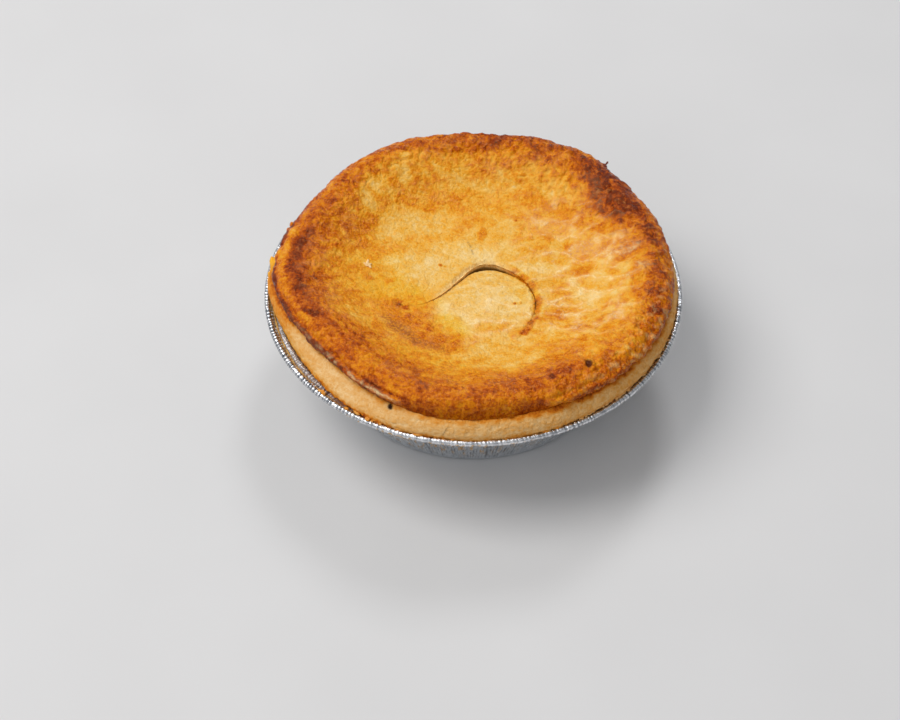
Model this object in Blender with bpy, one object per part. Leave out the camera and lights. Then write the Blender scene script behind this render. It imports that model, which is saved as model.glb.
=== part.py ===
"""A steak and onion pie in its crimped foil tin: tin, pastry case, filling and vented pastry lid.

Everything is modelled in metres in the pie's own frame: +Z is up, the origin is the middle of the
tin's foot, and -Y is the front of the pie. Radii are along X; the whole pie is slightly oval.
"""

import math

import bmesh
import bpy
from mathutils import Vector
from mathutils.geometry import delaunay_2d_cdt

MM = 0.001

# Driving sizes, in millimetres.
OVAL = 0.97  # depth of the pie over its width
GAP = 0.4  # clearance kept between touching pieces
CROWN_GAP = 1.0  # clearance between the filling and the lid's uneven underside
FOIL = 0.3  # thickness of the tin's wall
RIM_RADIUS = 65.0  # outside of the tin's rolled rim
RIM_HEIGHT = 32.3  # top of the rolled rim
BEAD_RADIUS = 0.85  # the roll of the rim, to the middle of the foil
FOOT_RADIUS = 44.4  # where the tin's wall meets its foot
HEEL = 1.2  # height and width of the corner between foot and wall
PANEL_RADIUS = 37.0  # stamped panel in the tin's foot
PANEL_LIFT = 0.8  # how far the panel stands clear of the table
WALL_TOP_RADIUS = 59.9
WALL_TOP_HEIGHT = 30.2
LEDGE_RADIUS = 62.5  # the narrow ledge between the wall and the rolled rim
LEDGE_HEIGHT = 31.3
FLUTES = 45  # crimps round the tin's wall
FLUTE_DEPTH = 0.25
CASE_WALL = 3.6  # thickness of the pastry case
CASE_TOP = 37.7  # the rim of the case, on which the lid sits
LID_SEAT = 38.1  # underside of the lid at its edge
LID_THICKNESS = 3.0  # in the sunken middle
TONGUE_DROP = 1.5  # how far the flap inside the vent has sunk
VENT_WIDTH = 1.5  # the vent's gap at its widest
VENT_CLEAR = 3.6  # how near the vent the lid's loose points may lie
TURN = 2 * math.pi

# The lid's skin from its middle to its lower edge, as (distance along the skin, radius, height).
LID_SKIN = [
    (0.0, 0.0, 36.0),
    (17.0, 17.0, 36.1),
    (33.0, 33.0, 37.4),
    (45.0, 45.0, 40.8),
    (53.0, 53.0, 43.3),
    (58.5, 58.0, 42.7),
    (62.5, 60.8, 40.4),
    (65.0, 60.2, LID_SEAT),
]
LID_REACH = LID_SKIN[-1][0]

# The pastry case above the tin's rim, as (radius, height).
CASE_COLLAR = [(60.9, 31.2), (62.5, 32.0), (63.1, 33.2), (62.9, 35.0), (62.2, 36.4), (61.2, CASE_TOP)]

# The curl of the vent's cut, seen from above, from its left end to its right end.
VENT = [
    (-26.0, -9.6),
    (-22.0, -11.0),
    (-16.0, -10.4),
    (-11.3, -7.0),
    (-7.4, -2.0),
    (-2.9, 3.9),
    (3.4, 6.9),
    (10.3, 5.1),
    (15.6, 0.2),
    (18.7, -6.4),
    (19.1, -12.8),
    (17.3, -19.0),
    (14.2, -23.6),
]

# Where the baked edge is pushed in (-) or out (+): (angle in degrees, half width, millimetres).
EDGE_DENTS = [(148, 20, -1.4), (-141, 24, -4.6), (-97, 12, 0.8), (57, 16, 1.8), (180, 12, 1.8), (-22, 22, 0.7)]

# Where the raised edge of the lid stands higher (+) or lower (-), in the same form.
EDGE_LIFTS = [(92, 62, 2.8), (-140, 30, -0.4)]


def catmull_rom(points, position):
    """The point at a position from 0 to len(points) - 1 on a smooth curve through the points."""
    last = len(points) - 1
    index = min(int(position), last - 1)
    t = position - index
    p0, p1, p2, p3 = (Vector(points[min(max(k, 0), last)]) for k in range(index - 1, index + 3))
    bend = (2 * p0 - 5 * p1 + 4 * p2 - p3) * t**2 + (3 * p1 - p0 - 3 * p2 + p3) * t**3
    return (2 * p1 + (p2 - p0) * t + bend) / 2


def smooth_step(low, high, value):
    """0 below low, 1 above high, and a smooth rise between."""
    share = min(max((value - low) / (high - low), 0.0), 1.0)
    return share * share * (3 - 2 * share)


def lobes(angle, table):
    """The sum of soft bumps round the edge, at an angle in radians."""
    total = 0.0
    for centre, half_width, size in table:
        off = math.degrees(angle) - centre
        off -= 360 * round(off / 360)
        total += size * math.exp(-((off / half_width) ** 2))
    return total


def oval_point(radius, angle, height):
    """A point of the pie, in millimetres, on its oval plan."""
    return Vector((radius * math.cos(angle), OVAL * radius * math.sin(angle), height))


def add_object(name, mesh_builder, colour, roughness, metallic=0.0, sharp_degrees=30):
    """Makes one solid of the pie from a bmesh in millimetres, with its own material."""
    bmesh.ops.recalc_face_normals(mesh_builder, faces=mesh_builder.faces)
    mesh = bpy.data.meshes.new(name)
    bmesh.ops.scale(mesh_builder, vec=(MM, MM, MM), verts=mesh_builder.verts)
    mesh_builder.to_mesh(mesh)
    mesh_builder.free()
    mesh.shade_smooth()
    mesh.set_sharp_from_angle(angle=math.radians(sharp_degrees))
    material = bpy.data.materials.new(name)
    material.use_nodes = True
    finish = material.node_tree.nodes["Principled BSDF"]
    finish.inputs["Base Color"].default_value = (*colour, 1.0)
    finish.inputs["Roughness"].default_value = roughness
    finish.inputs["Metallic"].default_value = metallic
    mesh.materials.append(material)
    thing = bpy.data.objects.new(name, mesh)
    bpy.context.scene.collection.objects.link(thing)
    return thing


def turned(profile, segments, place):
    """Turns a profile, which starts and ends on the axis, into a closed body.

    profile holds (radius, height) pairs, and place(radius, angle, height) gives each point.
    """
    body = bmesh.new()
    rings = []
    for radius, height in profile[1:-1]:
        angles = [TURN * k / segments for k in range(segments)]
        rings.append([body.verts.new(place(radius, angle, height)) for angle in angles])
    for ring, (radius, height) in ((rings[0], profile[0]), (rings[-1], profile[-1])):
        pole = body.verts.new((0.0, 0.0, height))
        for k in range(segments):
            body.faces.new((pole, ring[k], ring[(k + 1) % segments]))
    for low, high in zip(rings, rings[1:]):
        for k in range(segments):
            after = (k + 1) % segments
            body.faces.new((low[k], low[after], high[after], high[k]))
    return body


# ---- the foil tin ----


def tin_line():
    """The middle of the foil from the axis out to the end of the rolled rim, as (radius, height)."""
    low = FOIL / 2
    bead = (RIM_RADIUS - FOIL / 2 - BEAD_RADIUS, RIM_HEIGHT - FOIL / 2 - BEAD_RADIUS)
    line = [(0.0, low + PANEL_LIFT), (PANEL_RADIUS, low + PANEL_LIFT), (PANEL_RADIUS + HEEL, low)]
    line += [(FOOT_RADIUS - HEEL, low), (FOOT_RADIUS, low + HEEL)]
    half_way = (low + HEEL + WALL_TOP_HEIGHT) / 2
    line += [((FOOT_RADIUS + WALL_TOP_RADIUS) / 2, half_way), (WALL_TOP_RADIUS, WALL_TOP_HEIGHT)]
    line.append((LEDGE_RADIUS, LEDGE_HEIGHT))
    for degrees in (155, 105, 50, -5, -60):
        turn = math.radians(degrees)
        line.append((bead[0] + BEAD_RADIUS * math.cos(turn), bead[1] + BEAD_RADIUS * math.sin(turn)))
    return line


def offset_line(line, distance):
    """A line moved sideways by a distance, to its left, with its first point kept on the axis."""
    moved = []
    for k, point in enumerate(line):
        before = Vector(line[max(k - 1, 0)])
        after = Vector(line[min(k + 1, len(line) - 1)])
        along = (after - before).normalized()
        moved.append((point[0] - along.y * distance, point[1] + along.x * distance))
    moved[0] = (0.0, moved[0][1])
    return moved


def wall_radius(height):
    """The radius of the middle of the tin's wall at a height."""
    share = (height - HEEL) / (WALL_TOP_HEIGHT - HEEL)
    return FOOT_RADIUS + (WALL_TOP_RADIUS - FOOT_RADIUS) * share


def foil_tin():
    """The tapered foil tin: stamped foot, crimped wall and rolled rim, as one thin solid."""

    def place(radius, angle, height):
        on_wall = smooth_step(0.5, 4.0, height) * (1 - smooth_step(27.0, 30.0, height))
        return oval_point(radius + FLUTE_DEPTH * on_wall * math.cos(FLUTES * angle), angle, height)

    line = tin_line()
    profile = offset_line(line, -FOIL / 2) + offset_line(line, FOIL / 2)[::-1]
    body = turned(profile, 2 * FLUTES, place)
    return add_object("foil_tin", body, (0.80, 0.81, 0.83), 0.32, metallic=1.0)


# ---- the pastry case ----


def collar_place(radius, angle, height):
    """Places a point of the case or filling, which lean in from the tin where the edge is dented."""
    push = lobes(angle, EDGE_DENTS)
    start, end = (RIM_HEIGHT + 0.5, 35.0) if push > 0 else (27.0, 37.0)
    return oval_point(radius + push * smooth_step(start, end, height), angle, height)


def pastry_case():
    """The bottom crust: it lines the tin, stands above the rim and carries the lid."""
    clear = FLUTE_DEPTH + FOIL / 2 + GAP
    floor = FOIL + PANEL_LIFT + GAP
    outside = [(0.0, floor), (PANEL_RADIUS + 1.0, floor), (wall_radius(3.2) - clear, 3.2)]
    for height in (10.0, 19.0, 28.0):
        outside.append((wall_radius(height) - clear, height))
    outside += [(WALL_TOP_RADIUS - 0.9, WALL_TOP_HEIGHT + 0.3)] + CASE_COLLAR
    inside = [(CASE_COLLAR[-1][0] - CASE_WALL, CASE_TOP)]
    for height in (33.0, 24.0, 14.0, floor + CASE_WALL + 1.5):
        inside.append((wall_radius(height) - clear - CASE_WALL - 0.2, height))
    inside += [(PANEL_RADIUS, floor + CASE_WALL), (0.0, floor + CASE_WALL)]
    body = turned(outside + inside, 60, collar_place)
    return add_object("pastry_case", body, (0.78, 0.55, 0.30), 0.75)


# ---- the lid and what its vent shows ----


def vent_curve(count):
    """Evenly spread points on the vent's curl, each with its direction."""
    spans = len(VENT) - 1
    points = [catmull_rom(VENT, spans * k / count) for k in range(count + 1)]
    ends = [(points[max(k - 1, 0)], points[min(k + 1, count)]) for k in range(count + 1)]
    return [(point, (b - a).normalized()) for point, (a, b) in zip(points, ends)]


VENT_LINE = vent_curve(48)


def vent_side(x, y):
    """(share of the way along the vent, distance from it), positive on the side of the flap."""
    here = Vector((x, y))
    place = min(range(len(VENT_LINE)), key=lambda k: (VENT_LINE[k][0] - here).length_squared)
    point, along = VENT_LINE[place]
    away = here - point
    side = 1 if along.x * away.y - along.y * away.x < 0 else -1
    return place / (len(VENT_LINE) - 1), side * away.length


def vent_opening(share):
    """How far open the vent is, from 0 at its two ends to 1 near its top."""
    return max(math.sin(math.pi * share), 0.0) ** 0.7


def sink(x, y, both_sides=False):
    """How far the flap has sunk at a point, in millimetres; both_sides sinks its surroundings too."""
    share, distance = vent_side(x, y)
    if distance < 0 and not both_sides:
        return 0.0
    return TONGUE_DROP * vent_opening(share) * math.exp(-abs(distance) / 9.0)


def lid_skin(distance, angle):
    """The radius and height of the lid's upper skin, at a distance along it from the middle."""
    k = next((i for i in range(len(LID_SKIN) - 1) if distance <= LID_SKIN[i + 1][0]), len(LID_SKIN) - 2)
    share = (distance - LID_SKIN[k][0]) / (LID_SKIN[k + 1][0] - LID_SKIN[k][0])
    __, radius, height = catmull_rom(LID_SKIN, k + min(share, 1.0))
    towards_edge = smooth_step(30.0, 56.0, distance)
    raised = towards_edge * smooth_step(-1.0, 3.0, height - LID_SEAT)
    return radius + lobes(angle, EDGE_DENTS) * towards_edge, height + lobes(angle, EDGE_LIFTS) * raised


def lid_top(x, y):
    """The lid's skin over a point (x, y) of the flattened skin."""
    distance, angle = math.hypot(x, y), math.atan2(y, x)
    radius, height = lid_skin(distance, angle)
    return oval_point(radius, angle, height - sink(x, OVAL * y))


def lid_underside(x, y, both_sides=False):
    """The height of the lid's underside over a point (x, y) of the pie."""
    angle = math.atan2(y / OVAL, x)
    height = lid_skin(math.hypot(x, y / OVAL), angle)[1] - LID_THICKNESS
    return min(height, LID_SEAT) - sink(x, y, both_sides)


def ring_points(radius, spacing, scale_y=1.0):
    """Points spread evenly round a circle."""
    count = max(6, round(TURN * radius / spacing))
    angles = [TURN * (k + 0.5 * (round(radius) % 2)) / count for k in range(count)]
    return [(radius * math.cos(a), scale_y * radius * math.sin(a)) for a in angles]


def vent_loop():
    """The outline of the vent's gap, a thin curl with pointed ends."""
    half = [VENT_WIDTH / 2 * vent_opening(k / (len(VENT_LINE) - 1)) for k in range(len(VENT_LINE))]
    rows = [(p, Vector((-d.y, d.x)) * h) for (p, d), h in zip(VENT_LINE, half)]
    upper = [tuple(p + n) for p, n in rows]
    lower = [tuple(p - n) for p, n in rows[1:-1]]
    return upper + lower[::-1]


def inside_loop(loop, x, y):
    """True if the point lies inside the closed loop."""
    crossings = 0
    for (ax, ay), (bx, by) in zip(loop, loop[1:] + loop[:1]):
        if (ay > y) != (by > y) and x < ax + (y - ay) * (bx - ax) / (by - ay):
            crossings += 1
    return crossings % 2 == 1


def triangulated(edge_loop, hole_loop, loose_points):
    """Triangles between an edge and a hole, as index triples into the three lists joined."""
    points = edge_loop + hole_loop + loose_points
    loops = [(0, len(edge_loop)), (len(edge_loop), len(hole_loop))]
    seams = [(s + k, s + (k + 1) % n) for s, n in loops for k in range(n)]
    made = delaunay_2d_cdt([Vector(p) for p in points], seams, [], 0, 1e-6)
    source = [origins[0] for origins in made[3]]
    faces = []
    for face in made[2]:
        middle = sum((made[0][k] for k in face), Vector((0, 0))) / 3
        if inside_loop(edge_loop, *middle) and not inside_loop(hole_loop, *middle):
            faces.append([source[k] for k in face])
    return faces


def pastry_lid():
    """The lid: a sunken middle, a raised baked edge, and the curled vent cut right through."""
    hole = vent_loop()
    flat_hole = [(x, y / OVAL) for x, y in hole]
    edge = ring_points(LID_REACH, 4.6)
    near_vent = [(p, Vector((-d.y, d.x))) for p, d in VENT_LINE[1:-1:2]]
    loose = [tuple(p + n * off) for p, n in near_vent for off in (2.4, -2.4)]
    under = list(loose)
    loose = [(x, y / OVAL) for x, y in loose]
    for radius in (63.0, 60.5, 57.5, 54.5, 51.0, 47.0, 42.5, 37.5, 32.0, 26.5, 21.0, 15.5, 10.5, 5.5):
        loose += [p for p in ring_points(radius, 4.9) if abs(vent_side(p[0], OVAL * p[1])[1]) > VENT_CLEAR]
    for radius in (55.5, 50.0, 44.0, 38.0, 32.0, 26.0, 20.0, 14.0, 8.0):
        loops = ring_points(radius, 6.0, OVAL)
        under += [p for p in loops if abs(vent_side(*p)[1]) > VENT_CLEAR]
    body = bmesh.new()
    edge_verts = [body.verts.new(lid_top(x, y)) for x, y in edge]
    top_hole = [body.verts.new(lid_top(x, y)) for x, y in flat_hole]
    low_hole = [body.verts.new((x, y, lid_underside(x, y))) for x, y in hole]
    top = edge_verts + top_hole + [body.verts.new(lid_top(x, y)) for x, y in loose]
    low = edge_verts + low_hole + [body.verts.new((x, y, lid_underside(x, y))) for x, y in under]
    for face in triangulated(edge, flat_hole, loose):
        body.faces.new([top[k] for k in face])
    flat_edge = [(v.co.x, v.co.y) for v in edge_verts]
    for face in triangulated(flat_edge, hole, under):
        body.faces.new([low[k] for k in reversed(face)])
    for k in range(len(hole)):
        after = (k + 1) % len(hole)
        body.faces.new((top_hole[k], top_hole[after], low_hole[after], low_hole[k]))
    return add_object("pastry_lid", body, (0.72, 0.38, 0.09), 0.38)


def filling():
    """The steak and onion filling, up to the underside of the lid."""
    clear = FLUTE_DEPTH + FOIL / 2 + CASE_WALL + 0.2 + 2 * GAP
    floor = FOIL + PANEL_LIFT + CASE_WALL + 2 * GAP
    wall = [(PANEL_RADIUS - 0.6, floor)]
    wall += [(wall_radius(h) - clear, h) for h in (floor + 1.9, 14.0, 24.0, 32.6)]
    wall.append((CASE_COLLAR[-1][0] - CASE_WALL - GAP, CASE_TOP))
    crown = [(r, 0.0) for r in (53.0, 46.5, 40.0, 33.5, 27.0, 21.0, 15.0, 9.0)]

    def place(radius, angle, height):
        if height > 0:
            return collar_place(radius, angle, height)
        shape = oval_point(radius, angle, 0.0)
        shape.z = lid_underside(shape.x, shape.y, both_sides=True) - CROWN_GAP
        return shape

    middle = lid_underside(0.0, 0.0, both_sides=True) - CROWN_GAP
    profile = [(0.0, floor)] + wall + crown + [(0.0, middle)]
    body = turned(profile, 48, place)
    return add_object("filling", body, (0.16, 0.06, 0.02), 0.35)


def main():
    for thing in list(bpy.data.objects):
        bpy.data.objects.remove(thing)
    foil_tin()
    pastry_case()
    filling()
    pastry_lid()


main()
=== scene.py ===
"""The looks of a steak and onion pie in its foil tin: baked lid, pastry case, gravy, foil and crumbs.

Lengths are in millimetres until a mesh is made, and metres after that. The pie's frame has +Z up, its
origin under the middle of the tin's foot, and -Y at the front.
"""

from __future__ import annotations

import logging
import math
from dataclasses import dataclass, field
from enum import Enum
from functools import partial
from typing import Iterator, Sequence

import bpy
import numpy as np
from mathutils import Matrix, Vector
from mathutils.geometry import delaunay_2d_cdt

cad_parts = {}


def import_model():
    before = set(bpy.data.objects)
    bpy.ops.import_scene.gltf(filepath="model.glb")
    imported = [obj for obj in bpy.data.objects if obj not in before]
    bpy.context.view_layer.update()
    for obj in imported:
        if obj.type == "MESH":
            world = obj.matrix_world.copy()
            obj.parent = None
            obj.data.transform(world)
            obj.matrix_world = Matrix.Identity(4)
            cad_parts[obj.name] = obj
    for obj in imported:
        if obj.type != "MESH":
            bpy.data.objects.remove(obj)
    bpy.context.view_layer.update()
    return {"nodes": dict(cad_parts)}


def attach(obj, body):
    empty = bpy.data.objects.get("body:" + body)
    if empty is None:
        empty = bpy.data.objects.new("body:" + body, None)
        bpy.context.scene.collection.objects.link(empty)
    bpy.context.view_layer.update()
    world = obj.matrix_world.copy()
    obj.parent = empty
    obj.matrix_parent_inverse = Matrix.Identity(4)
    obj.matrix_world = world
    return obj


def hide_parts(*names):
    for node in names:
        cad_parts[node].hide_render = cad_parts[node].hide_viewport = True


Array = np.ndarray
Pair = tuple[float, float]
Triple = tuple[float, float, float]
Quad = tuple[float, float, float, float]
Colour = Triple
Socket = bpy.types.NodeSocket
Feed = Socket | float | Sequence[float]
Material = bpy.types.Material
Thing = bpy.types.Object

MM = 0.001
TURN = 2 * math.pi
TRIANGLE_HEIGHT = 0.866
CRUST_MARKS = ("brown", "wash", "soot")
LID_MARKS = ("toast", "wash", "stain", "cut", "soot", "vein_and_gloss")
BODY = "root"
LOG = logging.getLogger("pie")


# ---- numbers and noise ----


def from_screen(red: int, green: int, blue: int) -> Colour:
    """Turns a colour as a screen shows it, 0 to 255, into the linear colour that a shader takes.

    Args:
        red: the red part.
        green: the green part.
        blue: the blue part.

    Returns:
        The linear colour.
    """
    parts = [value / 255 for value in (red, green, blue)]
    return tuple(p / 12.92 if p <= 0.04045 else ((p + 0.055) / 1.055) ** 2.4 for p in parts)


def smooth_step(low: float, high: float, value: Array) -> Array:
    """A smooth rise from 0 at low to 1 at high.

    Args:
        low: where the rise starts.
        high: where it ends.
        value: where it is read.

    Returns:
        The share of the rise, of the same shape as value.
    """
    share = np.clip((value - low) / (high - low), 0.0, 1.0)
    return share * share * (3 - 2 * share)


def bell(value: Array, centre: float, half_width: float, power: int = 2) -> Array:
    """A soft bump of 1 at its centre, fading to 0 on both sides.

    Args:
        value: where it is read.
        centre: the middle of the bump.
        half_width: how far from the middle it has faded to about a third.
        power: an even number; a higher one squares the bump's shoulders.

    Returns:
        The bump's height, of the same shape as value.
    """
    return np.exp(-(((value - centre) / half_width) ** power))


def read_table(table: Sequence[Pair], value: Array) -> Array:
    """Reads a table of (place, amount) pairs by straight lines between its rows.

    Args:
        table: the rows, in order of place.
        value: the places to read.

    Returns:
        The amounts.
    """
    rows = np.asarray(table, dtype=float)
    return np.interp(value, rows[:, 0], rows[:, 1])


def smooth_curve(knots: Sequence[Sequence[float]], count: int) -> Array:
    """Evenly indexed points on a smooth curve through knots.

    Args:
        knots: the points that the curve passes through.
        count: how many steps to divide the curve into.

    Returns:
        An array of count + 1 points.
    """
    points = np.asarray(knots, dtype=float)
    last = len(points) - 1
    place = np.linspace(0, last, count + 1)
    k = np.clip(np.floor(place).astype(int), 0, last - 1)
    t = (place - k)[:, None]
    p0, p1, p2, p3 = (points[np.clip(k + shift, 0, last)] for shift in (-1, 0, 1, 2))
    bend = (2 * p0 - 5 * p1 + 4 * p2 - p3) * t**2 + (3 * p1 - p0 - 3 * p2 + p3) * t**3
    return (2 * p1 + (p2 - p0) * t + bend) / 2


def in_degrees(angle: Array) -> Array:
    """Angles in radians as degrees from 0 to 360."""
    return np.degrees(angle) % 360


class Grain:
    """Repeatable random relief: smooth noise and scattered cells, read at points in millimetres."""

    def __init__(self, seed: int) -> None:
        """Draws the noise's tables.

        Args:
            seed: picks the pattern.
        """
        draw = np.random.default_rng(seed)
        order = draw.permutation(256)
        self._order = np.concatenate([order, order])
        slopes = draw.normal(size=(256, 3))
        self._slopes = slopes / np.linalg.norm(slopes, axis=1, keepdims=True)
        self._shares = draw.random((256, 3))

    def _pick(self, x: Array, y: Array, z: Array) -> Array:
        """The table row of each cell of the noise's grid."""
        order = self._order
        return order[(order[(order[x & 255] + y) & 255] + z) & 255]

    def smooth(self, points: Array, size: float, stretch: Sequence[float] = (1, 1, 1)) -> Array:
        """Smooth noise of about -1 to 1.

        Args:
            points: where to read it, one row each.
            size: the width of its lumps, in millimetres.
            stretch: how much longer the lumps are along each axis.

        Returns:
            One value for each point.
        """
        at = points / (size * np.asarray(stretch, dtype=float))
        cell = np.floor(at).astype(int)
        part = at - cell
        fade = part**3 * (part * (part * 6 - 15) + 10)
        total = np.zeros(len(at))
        for corner in range(8):
            step = np.array([corner & 1, corner >> 1 & 1, corner >> 2])
            row = self._pick(*(cell + step).T)
            weight = np.prod(np.where(step, fade, 1 - fade), axis=1)
            total += weight * np.sum(self._slopes[row] * (part - step), axis=1)
        return total * 1.8

    def layered(self, points: Array, size: float, layers: int = 3, keep: float = 0.5) -> Array:
        """Smooth noise with finer noise on top of it.

        Args:
            points: where to read it.
            size: the width of the largest lumps.
            layers: how many sizes are added, each half the last.
            keep: the strength of each layer over the one before.

        Returns:
            One value for each point, about -1 to 1.
        """
        total = np.zeros(len(points))
        strength, whole = 1.0, 0.0
        for layer in range(layers):
            total += strength * self.smooth(points + 17.3 * layer, size / 2**layer)
            whole += strength
            strength *= keep
        return total / whole**0.7

    def _cells(self, at: Array) -> Iterator[tuple[Array, Array]]:
        """Goes through the nine cells round each place.

        Args:
            at: the places, in cells.

        Returns:
            The corner of a cell for each place, and that cell's three random shares.
        """
        cell = np.floor(at).astype(int)
        for dx in (-1, 0, 1):
            for dy in (-1, 0, 1):
                spot = cell + (dx, dy)
                yield spot, self._shares[self._pick(spot[:, 0], spot[:, 1], 0 * spot[:, 0])]

    def domes(self, plan: Array, size: float, fill: float) -> Array:
        """Round blisters of mixed sizes, scattered over a plane.

        Args:
            plan: (x, y) places, one row each.
            size: the spacing of the blisters.
            fill: the share of the spacing that the widest blister covers.

        Returns:
            The height of the blisters, 0 to 1.
        """
        at = plan / size
        height = np.zeros(len(at))
        for spot, share in self._cells(at):
            off = spot + 0.15 + 0.7 * share[:, :2] - at
            reach = fill * (0.35 + 0.65 * share[:, 2])
            dome = np.clip(1 - np.sum(off * off, axis=1) / reach**2, 0, 1)
            height = np.maximum(height, np.sqrt(dome) * (0.4 + 0.6 * share[:, 2]))
        return height

    def seams(self, plan: Array, size: float) -> Array:
        """The distance to the seams between scattered cells.

        Args:
            plan: (x, y) places, one row each.
            size: the width of the cells.

        Returns:
            About 0 on a seam and up to 1 inside a cell.
        """
        at = plan / size
        first, second = np.full(len(at), 9.0), np.full(len(at), 9.0)
        for spot, share in self._cells(at):
            away = np.linalg.norm(spot + share[:, :2] - at, axis=1)
            second = np.minimum(second, np.maximum(first, away))
            first = np.minimum(first, away)
        return second - first


# ---- meshes ----


@dataclass
class Shell:
    """A mesh in the making: points in millimetres, faces, and named values at the points."""

    points: Array
    faces: list[Sequence[int]]
    marks: dict[str, Array] = field(default_factory=dict)

    def piece(
        self, name: str, finish: Material, replaces: str = ""
    ) -> Thing:
        """Makes the shell a smooth shaded piece of the pie.

        Args:
            name: the piece's name.
            finish: its material.
            replaces: the CAD node that it is shown for, if any.

        Returns:
            The piece.
        """
        mesh = bpy.data.meshes.new(name)
        mesh.from_pydata((self.points * MM).tolist(), [], self.faces)
        for mark, values in self.marks.items():
            layer = mesh.attributes.new(mark, "FLOAT", "POINT")
            layer.data.foreach_set("value", values.astype(np.float32))
        mesh.shade_smooth()
        mesh.materials.append(finish)
        thing = bpy.data.objects.new(name, mesh)
        bpy.context.scene.collection.objects.link(thing)
        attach(thing, BODY)
        if replaces:
            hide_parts(replaces)
        LOG.info("%s: %d points, %d faces", name, len(mesh.vertices), len(mesh.polygons))
        return thing


def turned_faces(rows: int, segments: int) -> list[Sequence[int]]:
    """The faces of a turned shell whose points are stored ring by ring, with a cap at each end.

    Args:
        rows: how many rings of points it has.
        segments: how many points are in a ring.

    Returns:
        The faces, facing out where the rings run up the outside.
    """
    here = np.arange(segments)
    after = (here + 1) % segments
    faces: list[Sequence[int]] = []
    for row in range(rows - 1):
        low, high = row * segments, (row + 1) * segments
        faces += np.stack([low + here, low + after, high + after, high + here], axis=1).tolist()
    return faces + [here[::-1].tolist(), (here + (rows - 1) * segments).tolist()]


def spun(profile: Array, around: int) -> tuple[Array, ...]:
    """Turns a profile about the axis.

    Args:
        profile: a row for each ring, with any number of columns.
        around: how many points are in a ring.

    Returns:
        The angle of each point, in radians, and then each of its ring's columns.
    """
    angle = np.tile(TURN * np.arange(around) / around, len(profile))
    return (angle, *(np.repeat(column, around) for column in profile.T))


def inside(loop: Array, places: Array) -> Array:
    """Tells which places lie inside a closed loop.

    Args:
        loop: the loop's (x, y) points in order.
        places: the (x, y) places to test.

    Returns:
        True for each place inside.
    """
    found = np.zeros(len(places), dtype=bool)
    for (ax, ay), (bx, by) in zip(loop, np.roll(loop, -1, axis=0)):
        if ay == by:
            continue
        between = (ay > places[:, 1]) != (by > places[:, 1])
        found ^= between & (places[:, 0] < ax + (places[:, 1] - ay) * (bx - ax) / (by - ay))
    return found


def sheet_faces(edge: Array, hole: Array, loose: Array) -> Array:
    """Triangles of a flat sheet with an outline and a hole.

    Args:
        edge: the outline's points in order.
        hole: the hole's points in order.
        loose: the points between them.

    Returns:
        Index triples into the three lists joined, facing +Z.
    """
    every = np.concatenate([edge, hole, loose])
    starts = ((0, len(edge)), (len(edge), len(hole)))
    seams = [(start + k, start + (k + 1) % count) for start, count in starts for k in range(count)]
    made = delaunay_2d_cdt([Vector(p) for p in every.tolist()], seams, [], 0, 1e-7)
    corners = np.array(made[2])
    flat = np.array([tuple(p) for p in made[0]])
    middles = flat[corners].mean(axis=1)
    keep = inside(edge, middles)
    low, high = hole.min(axis=0) - 0.1, hole.max(axis=0) + 0.1
    near = np.all((middles > low) & (middles < high), axis=1)
    keep[near] &= ~inside(hole, middles[near])
    source = np.array([origins[0] for origins in made[3]])
    return source[corners[keep]]


# ---- the pie's form ----


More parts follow.
